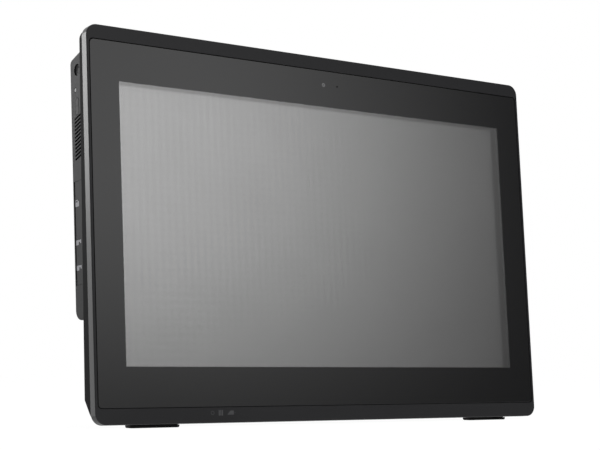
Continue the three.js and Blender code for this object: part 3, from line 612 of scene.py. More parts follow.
def textured_plastic(
    slot, shade, roughness, grain, depth, specular, marks=None, mark_colour=None, polish=None,
):
    """Moulded plastic with a spark-eroded texture, and with a print, painted shade or a clear coat where asked."""
    made, nodes = new_material(slot)
    place = nodes.position()
    pits = nodes.cells(place, grain)
    drift = nodes.noise(place, 60 * MM, 3)
    base = nodes.blend(drift * 0.7 + pits * 0.3, scaled(shade, 0.86), scaled(shade, 1.14))
    if marks:
        base = nodes.blend(marks(nodes), base, mark_colour)
    nodes.surface({
        "Base Color": base,
        "Roughness": roughness - 0.06 + pits * 0.1 + drift * 0.04,
        "Specular IOR Level": specular,
        "Normal": nodes.bump(pits, depth),
        "Coat Weight": polish(nodes) if polish else 0,
        "Coat Roughness": 0.3,
    })
    return made


def frame_plastic():
    front = bpy.context.scene.computer_front
    low, high = panel_box("front_frame")
    height = (low.z + panel_box("touch_glass")[0].z) / 2 + 1.3 * MM

    def marks(nodes):
        """Three faint lamp symbols on the lower lip: a ring, a drum and a fan of waves."""
        x, y, z = nodes.split(nodes.panel_position())
        lamp, drum, waves = (low.x + offset * MM for offset in (89.6, 96.2, 104.2))
        ring = disc(x, z, (lamp, height), 1.5 * MM) - disc(x, z, (lamp, height), 0.8 * MM)
        stripes = (abs(x - drum) * (2 * math.pi / (1.3 * MM))).math("COSINE") > -0.2
        barrel = rectangle(x, z, (drum, height), (1.9 * MM, 1.9 * MM)) * stripes
        above = z - height > x - waves + 1.5 * MM
        fan = rectangle(x, z, (waves, height), (2.5 * MM, 1.4 * MM)) * (1 - above)
        dot = disc(x, z, (waves + 3.6 * MM, height), 0.5 * MM)
        return (ring * 0.35 + barrel + fan * 0.8 + dot * 0.3) * (y < low.y + 0.2 * MM) * 0.8

    def polish(nodes):
        """The outer band between the rims has a clear coat."""
        x, y, _ = nodes.split(nodes.panel_position())
        return (abs(x) > high.x - 0.2 * MM) * (y > low.y) * front.band_coat

    return textured_plastic(
        "frame_plastic", front.frame_colour, roughness=0.36, grain=0.25 * MM, depth=0.004 * MM,
        specular=0.26, marks=marks, mark_colour=(0.1, 0.1, 0.105), polish=polish,
    )


def body_plastic():
    housing = bpy.context.scene.computer_housing
    return textured_plastic(
        "body_plastic", housing.body_colour, roughness=0.5, grain=0.5 * MM, depth=0.02 * MM,
        specular=0.02,
    )


def housing_plastic():
    housing = bpy.context.scene.computer_housing
    low, _ = panel_box("port_door")

    def marks(nodes):
        """Port symbols on the door: a card, and two plugs beside the sockets they name."""
        x, y, z = nodes.split(nodes.panel_position())
        depth, drop = low.y + 7.4 * MM, 1.1 * MM
        across, up = depth + 1 * MM, panel_middle("card_reader").z - drop
        card = rectangle(y, z, (across, up), (2.8 * MM, 2.3 * MM))
        corner = rectangle(y, z, (across - 2.4 * MM, up + 2.0 * MM), (1.0 * MM, 0.8 * MM))
        pads = rectangle(y, z, (across + 0.6 * MM, up + 1.2 * MM), (1.4 * MM, 0.5 * MM))
        mask = card * (1 - corner) * (1 - pads)
        for node in ("side_usb_upper", "side_usb_lower"):
            up = panel_middle(node).z - drop
            grip = rectangle(y, z, (depth + 2.2 * MM, up), (2.2 * MM, 1.7 * MM))
            tip = rectangle(y, z, (depth - 1.8 * MM, up + 0.4 * MM), (1.9 * MM, 1.2 * MM))
            holes = rectangle(y, z, (depth - 1.2 * MM, up - 0.3 * MM), (0.9 * MM, 0.6 * MM))
            mask = mask + grip + tip * (1 - holes)
        return mask * (x < low.x + 0.2 * MM)

    return textured_plastic(
        "housing_plastic", housing.housing_colour, roughness=0.5, grain=0.6 * MM, depth=0.03 * MM,
        specular=0.14, marks=marks, mark_colour=housing.print_colour,
    )


def button_plastic():
    key = panel_middle("power_button")

    def marks(nodes):
        """Painted shade: a black ring round the power button's dish, standing in for the shadow in its recess."""
        _, y, z = nodes.split(nodes.panel_position())
        painted_shade_outer = disc(y, z, (key.y, key.z), 4.5 * MM)
        return painted_shade_outer - disc(y, z, (key.y, key.z), 2.9 * MM)

    # The near-black mark colour is painted shade over the rim of the cap, where its recess shadows it.
    return textured_plastic(
        "button_plastic", (0.026, 0.026, 0.027), roughness=0.48, grain=0.3 * MM, depth=0.006 * MM,
        specular=0.16, marks=marks, mark_colour=(0.003, 0.003, 0.003),
    )


def rubber():
    return textured_plastic(
        "rubber", (0.0055, 0.0055, 0.0055), roughness=0.8, grain=0.4 * MM, depth=0.03 * MM,
        specular=0.2,
    )


def adhesive():
    return textured_plastic(
        "adhesive", (0.02, 0.02, 0.02), roughness=0.75, grain=0.3 * MM, depth=0.04 * MM,
        specular=0.3,
    )


def speaker_plastic():
    return textured_plastic(
        "speaker_plastic", (0.012, 0.012, 0.013), roughness=0.5, grain=0.4 * MM, depth=0.02 * MM,
        specular=0.5,
    )


def port_insert():
    return textured_plastic(
        "port_insert", (0.01, 0.01, 0.011), roughness=0.42, grain=0.3 * MM, depth=0.01 * MM,
        specular=0.5,
    )


def chip():
    return textured_plastic(
        "chip", (0.012, 0.012, 0.013), roughness=0.5, grain=0.15 * MM, depth=0.01 * MM,
        specular=0.5,
    )


def cable():
    return textured_plastic(
        "cable", (0.04, 0.04, 0.042), roughness=0.45, grain=1.5 * MM, depth=0.05 * MM,
        specular=0.5,
    )


def clear_plastic():
    return textured_plastic(
        "clear_plastic", (0.19, 0.193, 0.196), roughness=0.4, grain=0.5 * MM, depth=0.005 * MM,
        specular=0.4,
    )


def lens():
    return textured_plastic(
        "lens", (0.006, 0.007, 0.012), roughness=0.08, grain=0.5 * MM, depth=0.001 * MM,
        specular=0.5,
    )


def touch_glass():
    """Clear glass with black ink behind it, and windows for the display and the camera."""
    made, nodes = new_material("touch_glass")
    front = bpy.context.scene.computer_front
    x, y, z = nodes.split(nodes.panel_position())
    low, high = lit_area()
    rear = y > panel_middle("touch_glass").y
    spread = rear * front.window_margin
    middle, half_height = (low.z + high.z) / 2, (high.z - low.z) / 2
    window = (abs(x) - spread < high.x) * (abs(z - middle) - spread < half_height)
    eye_place = panel_middle("camera_lens")
    eye = disc(x, z, (eye_place.x, eye_place.z), 0.4 * MM)
    ring = disc(x, z, (eye_place.x, eye_place.z), 1.5 * MM)
    smear = nodes.noise(nodes.position(), 45 * MM, 4)
    ink = nodes.blend(ring, front.ink_colour, front.ring_colour)
    nodes.surface({
        "Base Color": nodes.blend(window, ink, woven(nodes, x, z, front.display_colour)),
        "Metallic": window * 0.97,
        "Roughness": 0.03 + smear * 0.05 + window * 0.15,
        "Alpha": 1 - window * (1 - front.glass_veil * (1 - rear)) - eye,
    })
    return made


def woven(nodes, x, z, shade):
    """The faint woven pattern that the touch sensor's rows and columns leave over the display."""
    per_metre = 2 * math.pi / bpy.context.scene.computer_front.sensor_pitch
    rows, columns = (z * per_metre).math("SINE"), (x * per_metre).math("SINE")
    drift = nodes.noise(nodes.position(), 35 * MM, 2)
    row_share, column_share, drift_share, swing = 0.1, 0.19, 0.3, 0.08
    weave = rows * row_share + columns * column_share + (drift - 0.5) * drift_share + 0.5
    return nodes.blend(weave, scaled(shade, 1 - swing), scaled(shade, 1 + swing))


def display_face():
    """Switched-off display: a grey polariser over the cells of the lit area, black outside it."""
    made, nodes = new_material("display_face")
    front = bpy.context.scene.computer_front
    x, y, z = nodes.split(nodes.panel_position())
    low, high = lit_area()
    half = ((high.x - low.x) / 2, (high.z - low.z) / 2)
    lit = rectangle(x, z, ((low.x + high.x) / 2, (low.z + high.z) / 2), half)
    cloud = nodes.noise(nodes.position(), 90 * MM, 3)
    face = y < panel_box("display_cell")[0].y + 0.1 * MM
    shade = front.display_colour
    edge = nodes.blend(lit, scaled(shade, 0.62), woven(nodes, x, z, shade))
    nodes.surface({
        "Base Color": nodes.blend(face, (0.014, 0.014, 0.015), edge),
        "Metallic": face * 0.97,
        "Roughness": 0.19 + cloud * 0.04,
    })
    return made


def sheet_metal(slot, shade, roughness, streak, metallic=1.0):
    """Rolled sheet with fine streaks along its length."""
    made, nodes = new_material(slot)
    place = nodes.position()
    streaks = nodes.noise(nodes.stretch(place, (0.06, 1, 1)), streak, 3)
    cloud = nodes.noise(place, 25 * MM, 2)
    mottle = streaks * 0.5 + cloud * 0.5
    nodes.surface({
        "Base Color": nodes.blend(mottle, scaled(shade, 0.85), scaled(shade, 1.12)),
        "Metallic": metallic,
        "Roughness": roughness - 0.08 + streaks * 0.1 + cloud * 0.06,
        "Normal": nodes.bump(streaks, 0.01 * MM, 0.5),
    })
    return made


def steel():
    return sheet_metal("steel", (0.42, 0.42, 0.43), roughness=0.38, streak=1.2 * MM)


def port_shell():
    return sheet_metal("port_shell", (0.5, 0.5, 0.51), roughness=0.3, streak=0.8 * MM)


def screw_steel():
    return sheet_metal("screw_steel", (0.12, 0.12, 0.125), roughness=0.35, streak=0.5 * MM)


def aluminium():
    return sheet_metal("aluminium", (0.5, 0.51, 0.52), roughness=0.42, streak=2 * MM)


def contact_gold():
    return sheet_metal("contact_gold", (0.72, 0.5, 0.2), roughness=0.25, streak=0.5 * MM)


def black_steel():
    """Powder-coated sheet steel, with the coat's orange peel."""
    made, nodes = new_material("black_steel")
    place = nodes.position()
    peel = nodes.noise(place, 0.9 * MM, 2)
    cloud = nodes.noise(place, 40 * MM, 2)
    nodes.surface({
        "Base Color": nodes.blend(cloud, (0.014, 0.014, 0.015), (0.02, 0.02, 0.021)),
        "Roughness": 0.42 + peel * 0.1,
        "Specular IOR Level": 0.5,
        "Normal": nodes.bump(peel, 0.03 * MM),
    })
    return made


def circuit_board():
    """Green solder mask over copper tracks, with tinned pads."""
    made, nodes = new_material("circuit_board")
    x, _, z = nodes.split(nodes.panel_position())
    wander = nodes.noise(nodes.position(), 18 * MM, 2) * 9
    tracks = (x * (1 / (0.9 * MM)) + wander).math("SINE") > 0.45
    crossing = (z * (1 / (1.1 * MM)) + wander).math("SINE") > 0.7
    pads = nodes.cells(nodes.position(), 3.2 * MM) < 0.13
    copper = tracks.math("MAXIMUM", crossing)
    green = nodes.blend(copper, (0.006, 0.05, 0.017), (0.014, 0.1, 0.034))
    nodes.surface({
        "Base Color": nodes.blend(pads, green, (0.6, 0.58, 0.52)),
        "Metallic": pads * 0.9,
        "Roughness": 0.42 - pads * 0.14 - copper * 0.06,
        "Normal": nodes.bump(copper + pads, 0.02 * MM),
    })
    return made


FINISHES = {
    maker.__name__: maker
    for maker in (
        frame_plastic, body_plastic, housing_plastic, button_plastic, rubber, adhesive,
        speaker_plastic, port_insert, chip, cable, clear_plastic, lens, touch_glass, display_face,
        steel, port_shell, screw_steel, aluminium, contact_gold, black_steel, circuit_board,
    )
}


def material(slot):
    return bpy.data.materials.get(f"{slot}_finish") or FINISHES[slot]()


def lit_area():
    """Lowest and highest corner of the display's lit area."""
    margin = bpy.context.scene.computer_front.cell_margin
    low, high = panel_box("display_cell")
    return low + Vector((margin, 0, margin)), high - Vector((margin, 0, margin))


# ---------------------------------------------------------------- front pieces


class COMPUTER_OT_front_frame(bpy.types.Operator):
    """Moulded frame round the cover glass, with its pocket, ledge and window"""

    bl_idname = "computer.front_frame"
    bl_label = "Front frame"

    def execute(self, context):
        front = context.scene.computer_front
        low, high = panel_box("front_frame")
        piece = add_block("frame_moulding", low, high)
        round_edges(piece, along(Y), front.corner_radius, 14)
        round_edges(piece, at(Y, low.y), front.rim_radius, 3)
        cut(piece, self.pocket(front))
        cut(piece, self.window(front))
        cut(piece, self.hollow(front, low, high))
        weld(piece, self.lip(front, low, high))
        cut(piece, *self.sensor_holes())
        soften(piece, 0.2 * MM)
        hand_over(piece, "root", "front_frame")
        return {"FINISHED"}

    @staticmethod
    def pocket(front):
        glass_low, glass_high = panel_box("touch_glass")
        _, tape_high = panel_box("glass_tape")
        seam = front.glass_seam
        low = (glass_low.x - seam, -SAFE, glass_low.z - seam)
        high = (glass_high.x + seam, tape_high.y + SEAT_GAP, glass_high.z + seam)
        tool = add_block("pocket_tool", low, high)
        round_edges(tool, along(Y), front.glass_corner, 8)
        return tool

    @staticmethod
    def window(front):
        low, high = lit_area()
        margin = front.window_margin
        return add_block(
            "window_tool", (low.x - margin, 0, low.z - margin),
            (high.x + margin, 20 * MM, high.z + margin),
        )

    @staticmethod
    def hollow(front, low, high):
        cell_low, _ = panel_box("display_cell")
        wall = front.frame_wall
        tool = add_block(
            "hollow_tool", (low.x + wall, cell_low.y - SEAT_GAP, low.z + wall),
            (high.x - wall, high.y + SAFE, high.z - wall),
        )
        round_edges(tool, along(Y), front.corner_radius - wall, 10)
        return tool

    @staticmethod
    def lip(front, low, high):
        """Lip along the lower rear rim that closes the slot in front of the thin body."""
        shell_low, _ = panel_box("body_shell")
        end = 5 * MM
        return add_block(
            "lip", (low.x + end, high.y - 0.9 * MM, low.z + front.frame_wall - 0.3 * MM),
            (high.x - end, high.y - 0.1 * MM, shell_low.z + 0.8 * MM),
        )

    @staticmethod
    def sensor_holes():
        tools = []
        for node in ("camera_lens", "microphone"):
            low, high = panel_box(node)
            centre = (low + high) / 2
            tools.append(add_rod(
                "sensor_tool", (centre.x, low.y - SAFE, centre.z),
                (centre.x, high.y + SAFE, centre.z), (high.x - low.x) / 2 + SEAT_GAP,
            ))
        return tools


class COMPUTER_OT_cover_glass(bpy.types.Operator):
    """Cover glass with a printed border and a sound hole"""

    bl_idname = "computer.cover_glass"
    bl_label = "Cover glass"

    def execute(self, context):
        front = context.scene.computer_front
        low, high = panel_box("touch_glass")
        piece = add_block("cover_glass", low, high)
        round_edges(piece, along(Y), front.glass_corner, 8)
        sound = panel_middle("microphone")
        cut(piece, add_rod(
            "sound_tool", (sound.x, low.y - SAFE, sound.z), (sound.x, high.y + SAFE, sound.z),
            front.sound_hole, 20,
        ))
        soften(piece, 0.18 * MM, 3)
        hand_over(piece, "root", "touch_glass")
        return {"FINISHED"}


class COMPUTER_OT_display(bpy.types.Operator):
    """Display cell behind the glass"""

    bl_idname = "computer.display"
    bl_label = "Display"

    def execute(self, context):
        low, high = panel_box("display_cell")
        piece = add_block("display_panel", low, high)
        step = 0.5 * (high.y - low.y)
        with editing(piece, "FACE"):
            pick(piece, "FACE", at(Y, high.y))
            bpy.ops.mesh.inset(thickness=1.5 * MM, depth=0)
            bpy.ops.transform.translate(value=(0, -0.2 * step, 0))
        soften(piece, 0.1 * MM)
        hand_over(piece, "root", "display_cell")
        return {"FINISHED"}


# ---------------------------------------------------------------- shells


class COMPUTER_OT_body_shell(bpy.types.Operator):
    """Thin drafted body behind the frame, bevelled underneath and open at the front"""

    bl_idname = "computer.body_shell"
    bl_label = "Body shell"

    def execute(self, context):
        housing = context.scene.computer_housing
        piece = self.solid("thin_body", housing, 0)
        soften(piece, 0.6 * MM, 3, 15)
        cut(piece, self.solid("body_tool", housing, housing.body_wall))
        cut(piece, self.opening(housing))
        soften(piece, 0.15 * MM, 1)
        hand_over(piece, "root", "body_shell")
        return {"FINISHED"}

    @staticmethod
    def solid(name, housing, wall):
        """The body's outer shape, or the hollow inside it when a wall is given."""
        front = bpy.context.scene.computer_front
        low, high = panel_box("body_shell")
        frame_low, frame_high = panel_box("front_frame")
        inset = housing.body_inset + wall
        start = low.y - (SAFE if wall else 0)
        end = high.y + SAFE
        block = add_block(
            name, (frame_low.x + inset, start, frame_low.z + inset),
            (frame_high.x - inset, end, frame_high.z - inset),
        )
        round_edges(block, along(Y), front.corner_radius - inset, 12)
        middle = (frame_low.z + frame_high.z) / 2
        factors = (1 - housing.body_draft / frame_high.x, 1, 1 - housing.body_draft / middle)
        scale_face(block, at(Y, end), factors, (0, end, middle))
        base = Vector((0, high.y, housing.bevel_rise))
        back = back_normal(housing)
        slice_off(block, base - back * wall, back)
        under = Vector((0, housing.bevel_rise - low.z, low.y - high.y)).normalized()
        slice_off(block, base - under * wall, under)
        return block

    @staticmethod
    def opening(housing):
        ledge = 4 * MM
        _, high = panel_box("body_shell")
        house_low, house_high = panel_box("rear_housing")
        board_low, _ = panel_box("chassis_plate")
        edge = housing.wall + ledge
        tool = add_block(
            "opening_tool",
            (house_low.x + edge, housing.top_depth - housing.body_wall - 3 * MM, board_low.z),
            (house_high.x - edge, high.y + SAFE, house_high.z - edge),
        )
        round_edges(tool, along(Y), 3 * MM, 6)
        return tool


def back_normal(housing):
    """Outward normal of the thin body's sloping back."""
    _, high = panel_box("body_shell")
    _, frame_high = panel_box("front_frame")
    rise = frame_high.z - housing.bevel_rise
    return Vector((0, rise, high.y - housing.top_depth)).normalized()


class COMPUTER_OT_rear_housing(bpy.types.Operator):
    """Raised housing with its sound slots, vents, connector bay and wall mount"""

    bl_idname = "computer.rear_housing"
    bl_label = "Rear housing"

    def execute(self, context):
        housing = context.scene.computer_housing
        low, high = panel_box("rear_housing")
        piece = self.solid("housing_moulding", housing, 0)
        cut(piece, self.solid("housing_tool", housing, housing.wall))
        weld(piece, *self.bosses(housing, high))
        weld(piece, *self.bay_ribs(low, high), *self.door_lugs(low, high))
        cut(piece, self.bay(high))
        cut(piece, self.sound_slots(housing, low.x), self.sound_slots(housing, high.x))
        cut(piece, self.back_vents(housing, high), self.top_vents(housing, high))
        cut(piece, *self.control_holes(housing, low))
        cut(piece, *self.screw_holes(housing, high), self.lock_slot(housing, high))
        soften(piece, 0.1 * MM)
        hand_over(piece, "root", "rear_housing")
        return {"FINISHED"}

    @staticmethod
    def solid(name, housing, wall):
        """The housing's outer shape, or the hollow inside it when a wall is given."""
        low, high = panel_box("rear_housing")
        front = low.y - 3 * SAFE
        block = add_block(
            name, (low.x + wall, front, low.z + wall),
            (high.x - wall, high.y - wall, high.z + SAFE),
        )
        fall = Vector((0, housing.top_fall, high.y - low.y)).normalized()
        slice_off(block, Vector((0, high.y, high.z - housing.top_fall)) - fall * wall, fall)
        rear_edges = all_of(along(X), at(Y, high.y - wall))
        top_edge = all_of(rear_edges, lambda edge: edge.verts[0].co.z > (low.z + high.z) / 2)
        bottom_edge = all_of(rear_edges, at(Z, low.z + wall))
        round_edges(block, bottom_edge, housing.low_radius - wall, 10)
        round_edges(block, top_edge, (housing.high_radius - wall) * 0.8, 6)
        if not wall:
            outline = all_of(at(X, low.x, high.x), not_at(Y, front))
            round_edges(block, outline, housing.side_radius, 4)
            back = back_normal(housing)
            seat = Vector((0, panel_box("body_shell")[1].y + SEAT_GAP, housing.bevel_rise))
            slice_off(block, seat, -back)
        return block

    @staticmethod
    def bosses(housing, high):
        inner, radius = high.y - housing.wall, 4.7 * MM
        points = mount_points(housing, high) + housing_screw_points()
        return [
            add_rod("boss", (x, inner - 7 * MM, z), (x, inner + 0.5 * MM, z), radius)
            for x, z in points
        ]

    @staticmethod
    def bay_ribs(low, high):
        plate_low, plate_high = panel_box("port_plate")
        thickness = 1.6 * MM
        roof = plate_low.z - SEAT_GAP
        return [
            add_block(
                "rib", (x, plate_low.y + SAFE, low.z + 0.5 * MM),
                (x + thickness, high.y - 1 * MM, roof),
            )
            for x in (plate_low.x, plate_high.x - thickness)
        ]

    @staticmethod
    def door_lugs(low, high):
        pin_low, pin_high = panel_box("port_door_pin")
        door_low, door_high = panel_box("port_door")
        inset = 0.6 * MM
        depth = pin_low.y - 1.6 * MM
        near_side, far_side, rear = low.x + 0.5 * MM, low.x + 4.2 * MM, high.y - 1.7 * MM
        spans = (
            (pin_low.z - inset, door_low.z - SEAT_GAP),
            (door_high.z + SEAT_GAP, pin_high.z + inset),
        )
        return [
            add_block("lug", (near_side, depth, bottom), (far_side, rear, top))
            for bottom, top in spans
        ]

    @staticmethod
    def bay(high):
        plate_low, plate_high = panel_box("port_plate")
        rib = 1.6 * MM
        house_low, _ = panel_box("rear_housing")
        return add_block(
            "bay_tool", (plate_low.x + rib, 5 * MM, house_low.z - SAFE),
            (plate_high.x - rib, high.y + SAFE, plate_low.z - SEAT_GAP),
        )

    @staticmethod
    def sound_slots(housing, side):
        reach = 3 * MM
        depth, height = housing.slot_length / 2, housing.slot_height / 2
        tool = add_block("slot_tool", (-reach, -depth, -height), (reach, depth, height))
        round_edges(tool, along(X), height * 0.9, 4)
        rocker = panel_middle("volume_rocker")
        button = panel_middle("power_button")
        place = Matrix.Translation((side, button.y, rocker.z - housing.slot_drop))
        placed(tool, place @ Matrix.Rotation(-housing.slot_turn, 4, "X"))
        return repeat(tool, housing.slot_count, (0, 0, -housing.slot_pitch))

    @staticmethod
    def back_vents(housing, high):
        top = high.z - housing.vent_drop
        start = -(housing.vent_count - 1) / 2 * housing.vent_pitch
        half = housing.vent_width / 2
        tool = add_block(
            "vent_tool", (start - half, high.y - housing.wall - SAFE, top - housing.vent_height),
            (start + half, high.y + SAFE, top),
        )
        round_edges(tool, along(Y), half * 0.95, 6)
        return repeat(tool, housing.vent_count, (housing.vent_pitch, 0, 0))

    @staticmethod
    def top_vents(housing, high):
        start = -(housing.vent_count - 1) / 2 * housing.vent_pitch
        half = housing.vent_width / 2
        rear = high.y - 6 * MM
        tool = add_block(
            "vent_tool", (start - half, rear - 9 * MM, high.z - housing.top_fall - 5 * MM),
            (start + half, rear, high.z + SAFE),
        )
        round_edges(tool, along(Z), half * 0.95, 6)
        return repeat(tool, housing.vent_count, (housing.vent_pitch, 0, 0))

    @staticmethod
    def control_holes(housing, low):
        outside, inside = low.x - SAFE, low.x + housing.wall + SAFE
        tools = []
        light_low, light_high = panel_box("status_light")
        button = panel_middle("power_button")
        light = (light_low + light_high) / 2
        button_radius = housing.key_radius + 0.1 * MM
        light_radius = (light_high.z - light_low.z) / 2
        for centre, radius in ((button, button_radius), (light, light_radius)):
            tools.append(add_rod(
                "hole_tool", (outside, centre.y, centre.z), (inside, centre.y, centre.z),
                radius + SEAT_GAP, 48,
            ))
        rocker = panel_middle("volume_rocker")
        reach, width = housing.rocker_reach + ROCKER_GAP, housing.rocker_width + ROCKER_GAP
        oval = add_block(
            "hole_tool", (outside, rocker.y - width, rocker.z - reach),
            (inside, rocker.y + width, rocker.z + reach),
        )
        round_edges(oval, along(X), width * 0.98, 8)
        door_low, door_high = panel_box("port_door")
        hinge_gap = SEAT_GAP + 0.1 * MM
        door = add_block(
            "hole_tool", (outside, door_low.y - SEAT_GAP, door_low.z - DOOR_GAP),
            (inside + SAFE, door_high.y + hinge_gap, door_high.z + DOOR_GAP),
        )
        return [*tools, oval, door]

    @staticmethod
    def screw_holes(housing, high):
        tools = []
        seat = panel_box("housing_screw_1")[1].y - 1.5 * MM
        for x, z in housing_screw_points():
            tools.append(add_rod("hole_tool", (x, seat, z), (x, high.y + SAFE, z), 3.3 * MM))
        for x, z in mount_points(housing, high):
            tools.append(add_rod(
                "hole_tool", (x, high.y - housing.wall - 6 * MM, z), (x, high.y + SAFE, z), 2 * MM,
            ))
        for number in range(1, 5):
            centre = panel_middle(f"bracket_screw_{number}")
            tools.append(add_rod(
                "hole_tool", (centre.x, high.y - housing.wall - SAFE, centre.z),
                (centre.x, high.y + SAFE, centre.z), 1.8 * MM,
            ))
        return tools

    @staticmethod
    def lock_slot(housing, high):
        door_low, _ = panel_box("port_door")
        tool = add_block(
            "lock_tool", (high.x - housing.wall - SAFE, 24 * MM, door_low.z),
            (high.x + SAFE, 27 * MM, door_low.z + 7 * MM),
        )
        round_edges(tool, along(X), 0.9 * MM, 4)
        return tool


def mount_points(housing, high):
    centre = high.z - housing.mount_drop
    half = housing.mount_pitch / 2
    return [(sx * half, centre + sz * half) for sx in (-1, 1) for sz in (-1, 1)]


def housing_screw_points():
    centres = [panel_middle(f"housing_screw_{number}") for number in range(1, 5)]
    return [(centre.x, centre.z) for centre in centres]


# ---------------------------------------------------------------- side controls and door


class COMPUTER_OT_side_controls(bpy.types.Operator):
    """Power button, volume rocker and status light on the left side"""

    bl_idname = "computer.side_controls"
    bl_label = "Side controls"

    def execute(self, context):
        housing = context.scene.computer_housing
        self.button(housing)
        self.rocker(housing)
        self.light()
        return {"FINISHED"}

    @staticmethod
    def button(housing):
        low, high = panel_box("power_button")
        middle = (low + high) / 2
        face = panel_box("rear_housing")[0].x + housing.key_recess
        collar = 1.8 * MM
        piece = add_rod(
            "power_key", (face, middle.y, middle.z), (face + collar, middle.y, middle.z),
            housing.key_radius, 64,
        )
        round_edges(piece, at(X, face), 0.35 * MM, 4)
        dish(piece, at(X, face), [
            (0.35 * MM, (0, 0, 0)), (0.3 * MM, (0.16 * MM, 0, 0)), (0.45 * MM, (0.2 * MM, 0, 0)),
            (0.6 * MM, (0.16 * MM, 0, 0)), (0.7 * MM, (0.08 * MM, 0, 0)),
        ])
        flange = add_rod(
            "flange", (face + collar - 0.2 * MM, middle.y, middle.z),
            (face + collar + 1 * MM, middle.y, middle.z), (high.z - low.z) / 2, 64,
        )
        stem = add_rod(
            "stem", (face + collar + 0.5 * MM, middle.y, middle.z), (high.x, middle.y, middle.z),
            1.5 * MM,
        )
        weld(piece, flange)
        weld(piece, stem)
        soften(piece, 0.12 * MM)
        hand_over(piece, "power_button", "power_button")

    @staticmethod
    def rocker(housing):
        low, high = panel_box("volume_rocker")
        middle = (low + high) / 2
        reach, width = housing.rocker_reach, housing.rocker_width
        piece = add_block(
            "volume_key", (low.x, middle.y - width, middle.z - reach),
            (high.x - 0.7 * MM, middle.y + width, middle.z + reach),
        )
        round_edges(piece, along(X), width * 0.98, 10)
        round_edges(piece, at(X, low.x), 0.3 * MM, 4)
        collar = add_block(
            "collar", (high.x - 1 * MM, low.y, low.z), (high.x, high.y, high.z),
        )
        round_edges(collar, along(X), (high.y - low.y) / 2 * 0.98, 10)
        weld(piece, collar)
        out = low.x - 1.2 * MM
        waist = add_rod("waist", (out, low.y, middle.z), (out, high.y, middle.z), 1.3 * MM, 40)
        cut(piece, waist)
        soften(piece, 0.06 * MM, 1)
        hand_over(piece, "volume_rocker", "volume_rocker")

    @staticmethod
    def light():
        low, high = panel_box("status_light")
        middle = (low + high) / 2
        radius = (high.z - low.z) / 2
        piece = add_rod(
            "status_lamp", (low.x, middle.y, middle.z), (high.x, middle.y, middle.z), radius, 40,
        )
        round_edges(piece, at(X, low.x), 0.3 * MM, 4)
        smooth(piece)
        hand_over(piece, "root", "status_light")


class COMPUTER_OT_port_door(bpy.types.Operator):
    """Door over the side ports, with its hinge barrel and finger notch"""

    bl_idname = "computer.port_door"
    bl_label = "Port door"

    def execute(self, context):
        housing = context.scene.computer_housing
        low, high = panel_box("port_door")
        pin_low, pin_high = panel_box("port_door_pin")
        pin = (pin_low + pin_high) / 2
        barrel_radius = pin.x - low.x
        piece = add_block("side_door", low, (low.x + housing.door_thickness, pin.y, high.z))
        barrel = add_rod("barrel", (pin.x, pin.y, low.z), (pin.x, pin.y, high.z), barrel_radius, 40)
        weld(piece, barrel)
        middle = (low.z + high.z) / 2
        notch_end, notch_half = low.y + 1.2 * MM, 5 * MM
        notch = add_block(
            "notch_tool", (low.x - 0.1 * MM, low.y - SAFE, middle - notch_half),
            (low.x + 0.7 * MM, notch_end, middle + notch_half),
        )
        round_edges(notch, all_of(along(X), at(Y, notch_end)), 1 * MM, 5)
        bore_radius = (pin_high.x - pin_low.x) / 2 + SEAT_GAP
        bore = add_rod(
            "bore_tool", (pin.x, pin.y, low.z - SAFE), (pin.x, pin.y, high.z + SAFE),
            bore_radius, 24,
        )
        cut(piece, notch, bore)
        soften(piece, 0.2 * MM)
        hand_over(piece, "side_door", "port_door")
        return {"FINISHED"}


# ---------------------------------------------------------------- connectors


def socket_place(node):
    """Matrix from a connector's own frame, its mouth at z = 0 facing down, to the panel's."""
    low, high = panel_box(node)
    if node.startswith("side_usb"):
        middle = (low + high) / 2
        sideways = Matrix.Rotation(math.radians(90), 4, "Y")
        return Matrix.Translation((low.x, low.y, middle.z)) @ sideways
    return Matrix.Translation(((low.x + high.x) / 2, low.y, low.z))


def socket_size(node):
    """Width, height and depth of a connector in its own frame."""
    low, high = panel_box(node)
    size = high - low
    if node.startswith("side_usb"):
        return size.z, size.y, size.x
    return size.x, size.y, size.z


def socket_body(node, slot):
    width, height, depth = socket_size(node)
    body = add_block(f"{node}_socket", (-width / 2, 0, 0), (width / 2, height, depth))
    return paint(body, slot)


def finish_socket(node, body, fittings):
    """Joins a connector's shell to its inner fittings, each with its own finish."""
    smooth(body)
    piece = joined([body, *fittings])
    placed(piece, socket_place(node))
    hand_over(piece, "root", node)


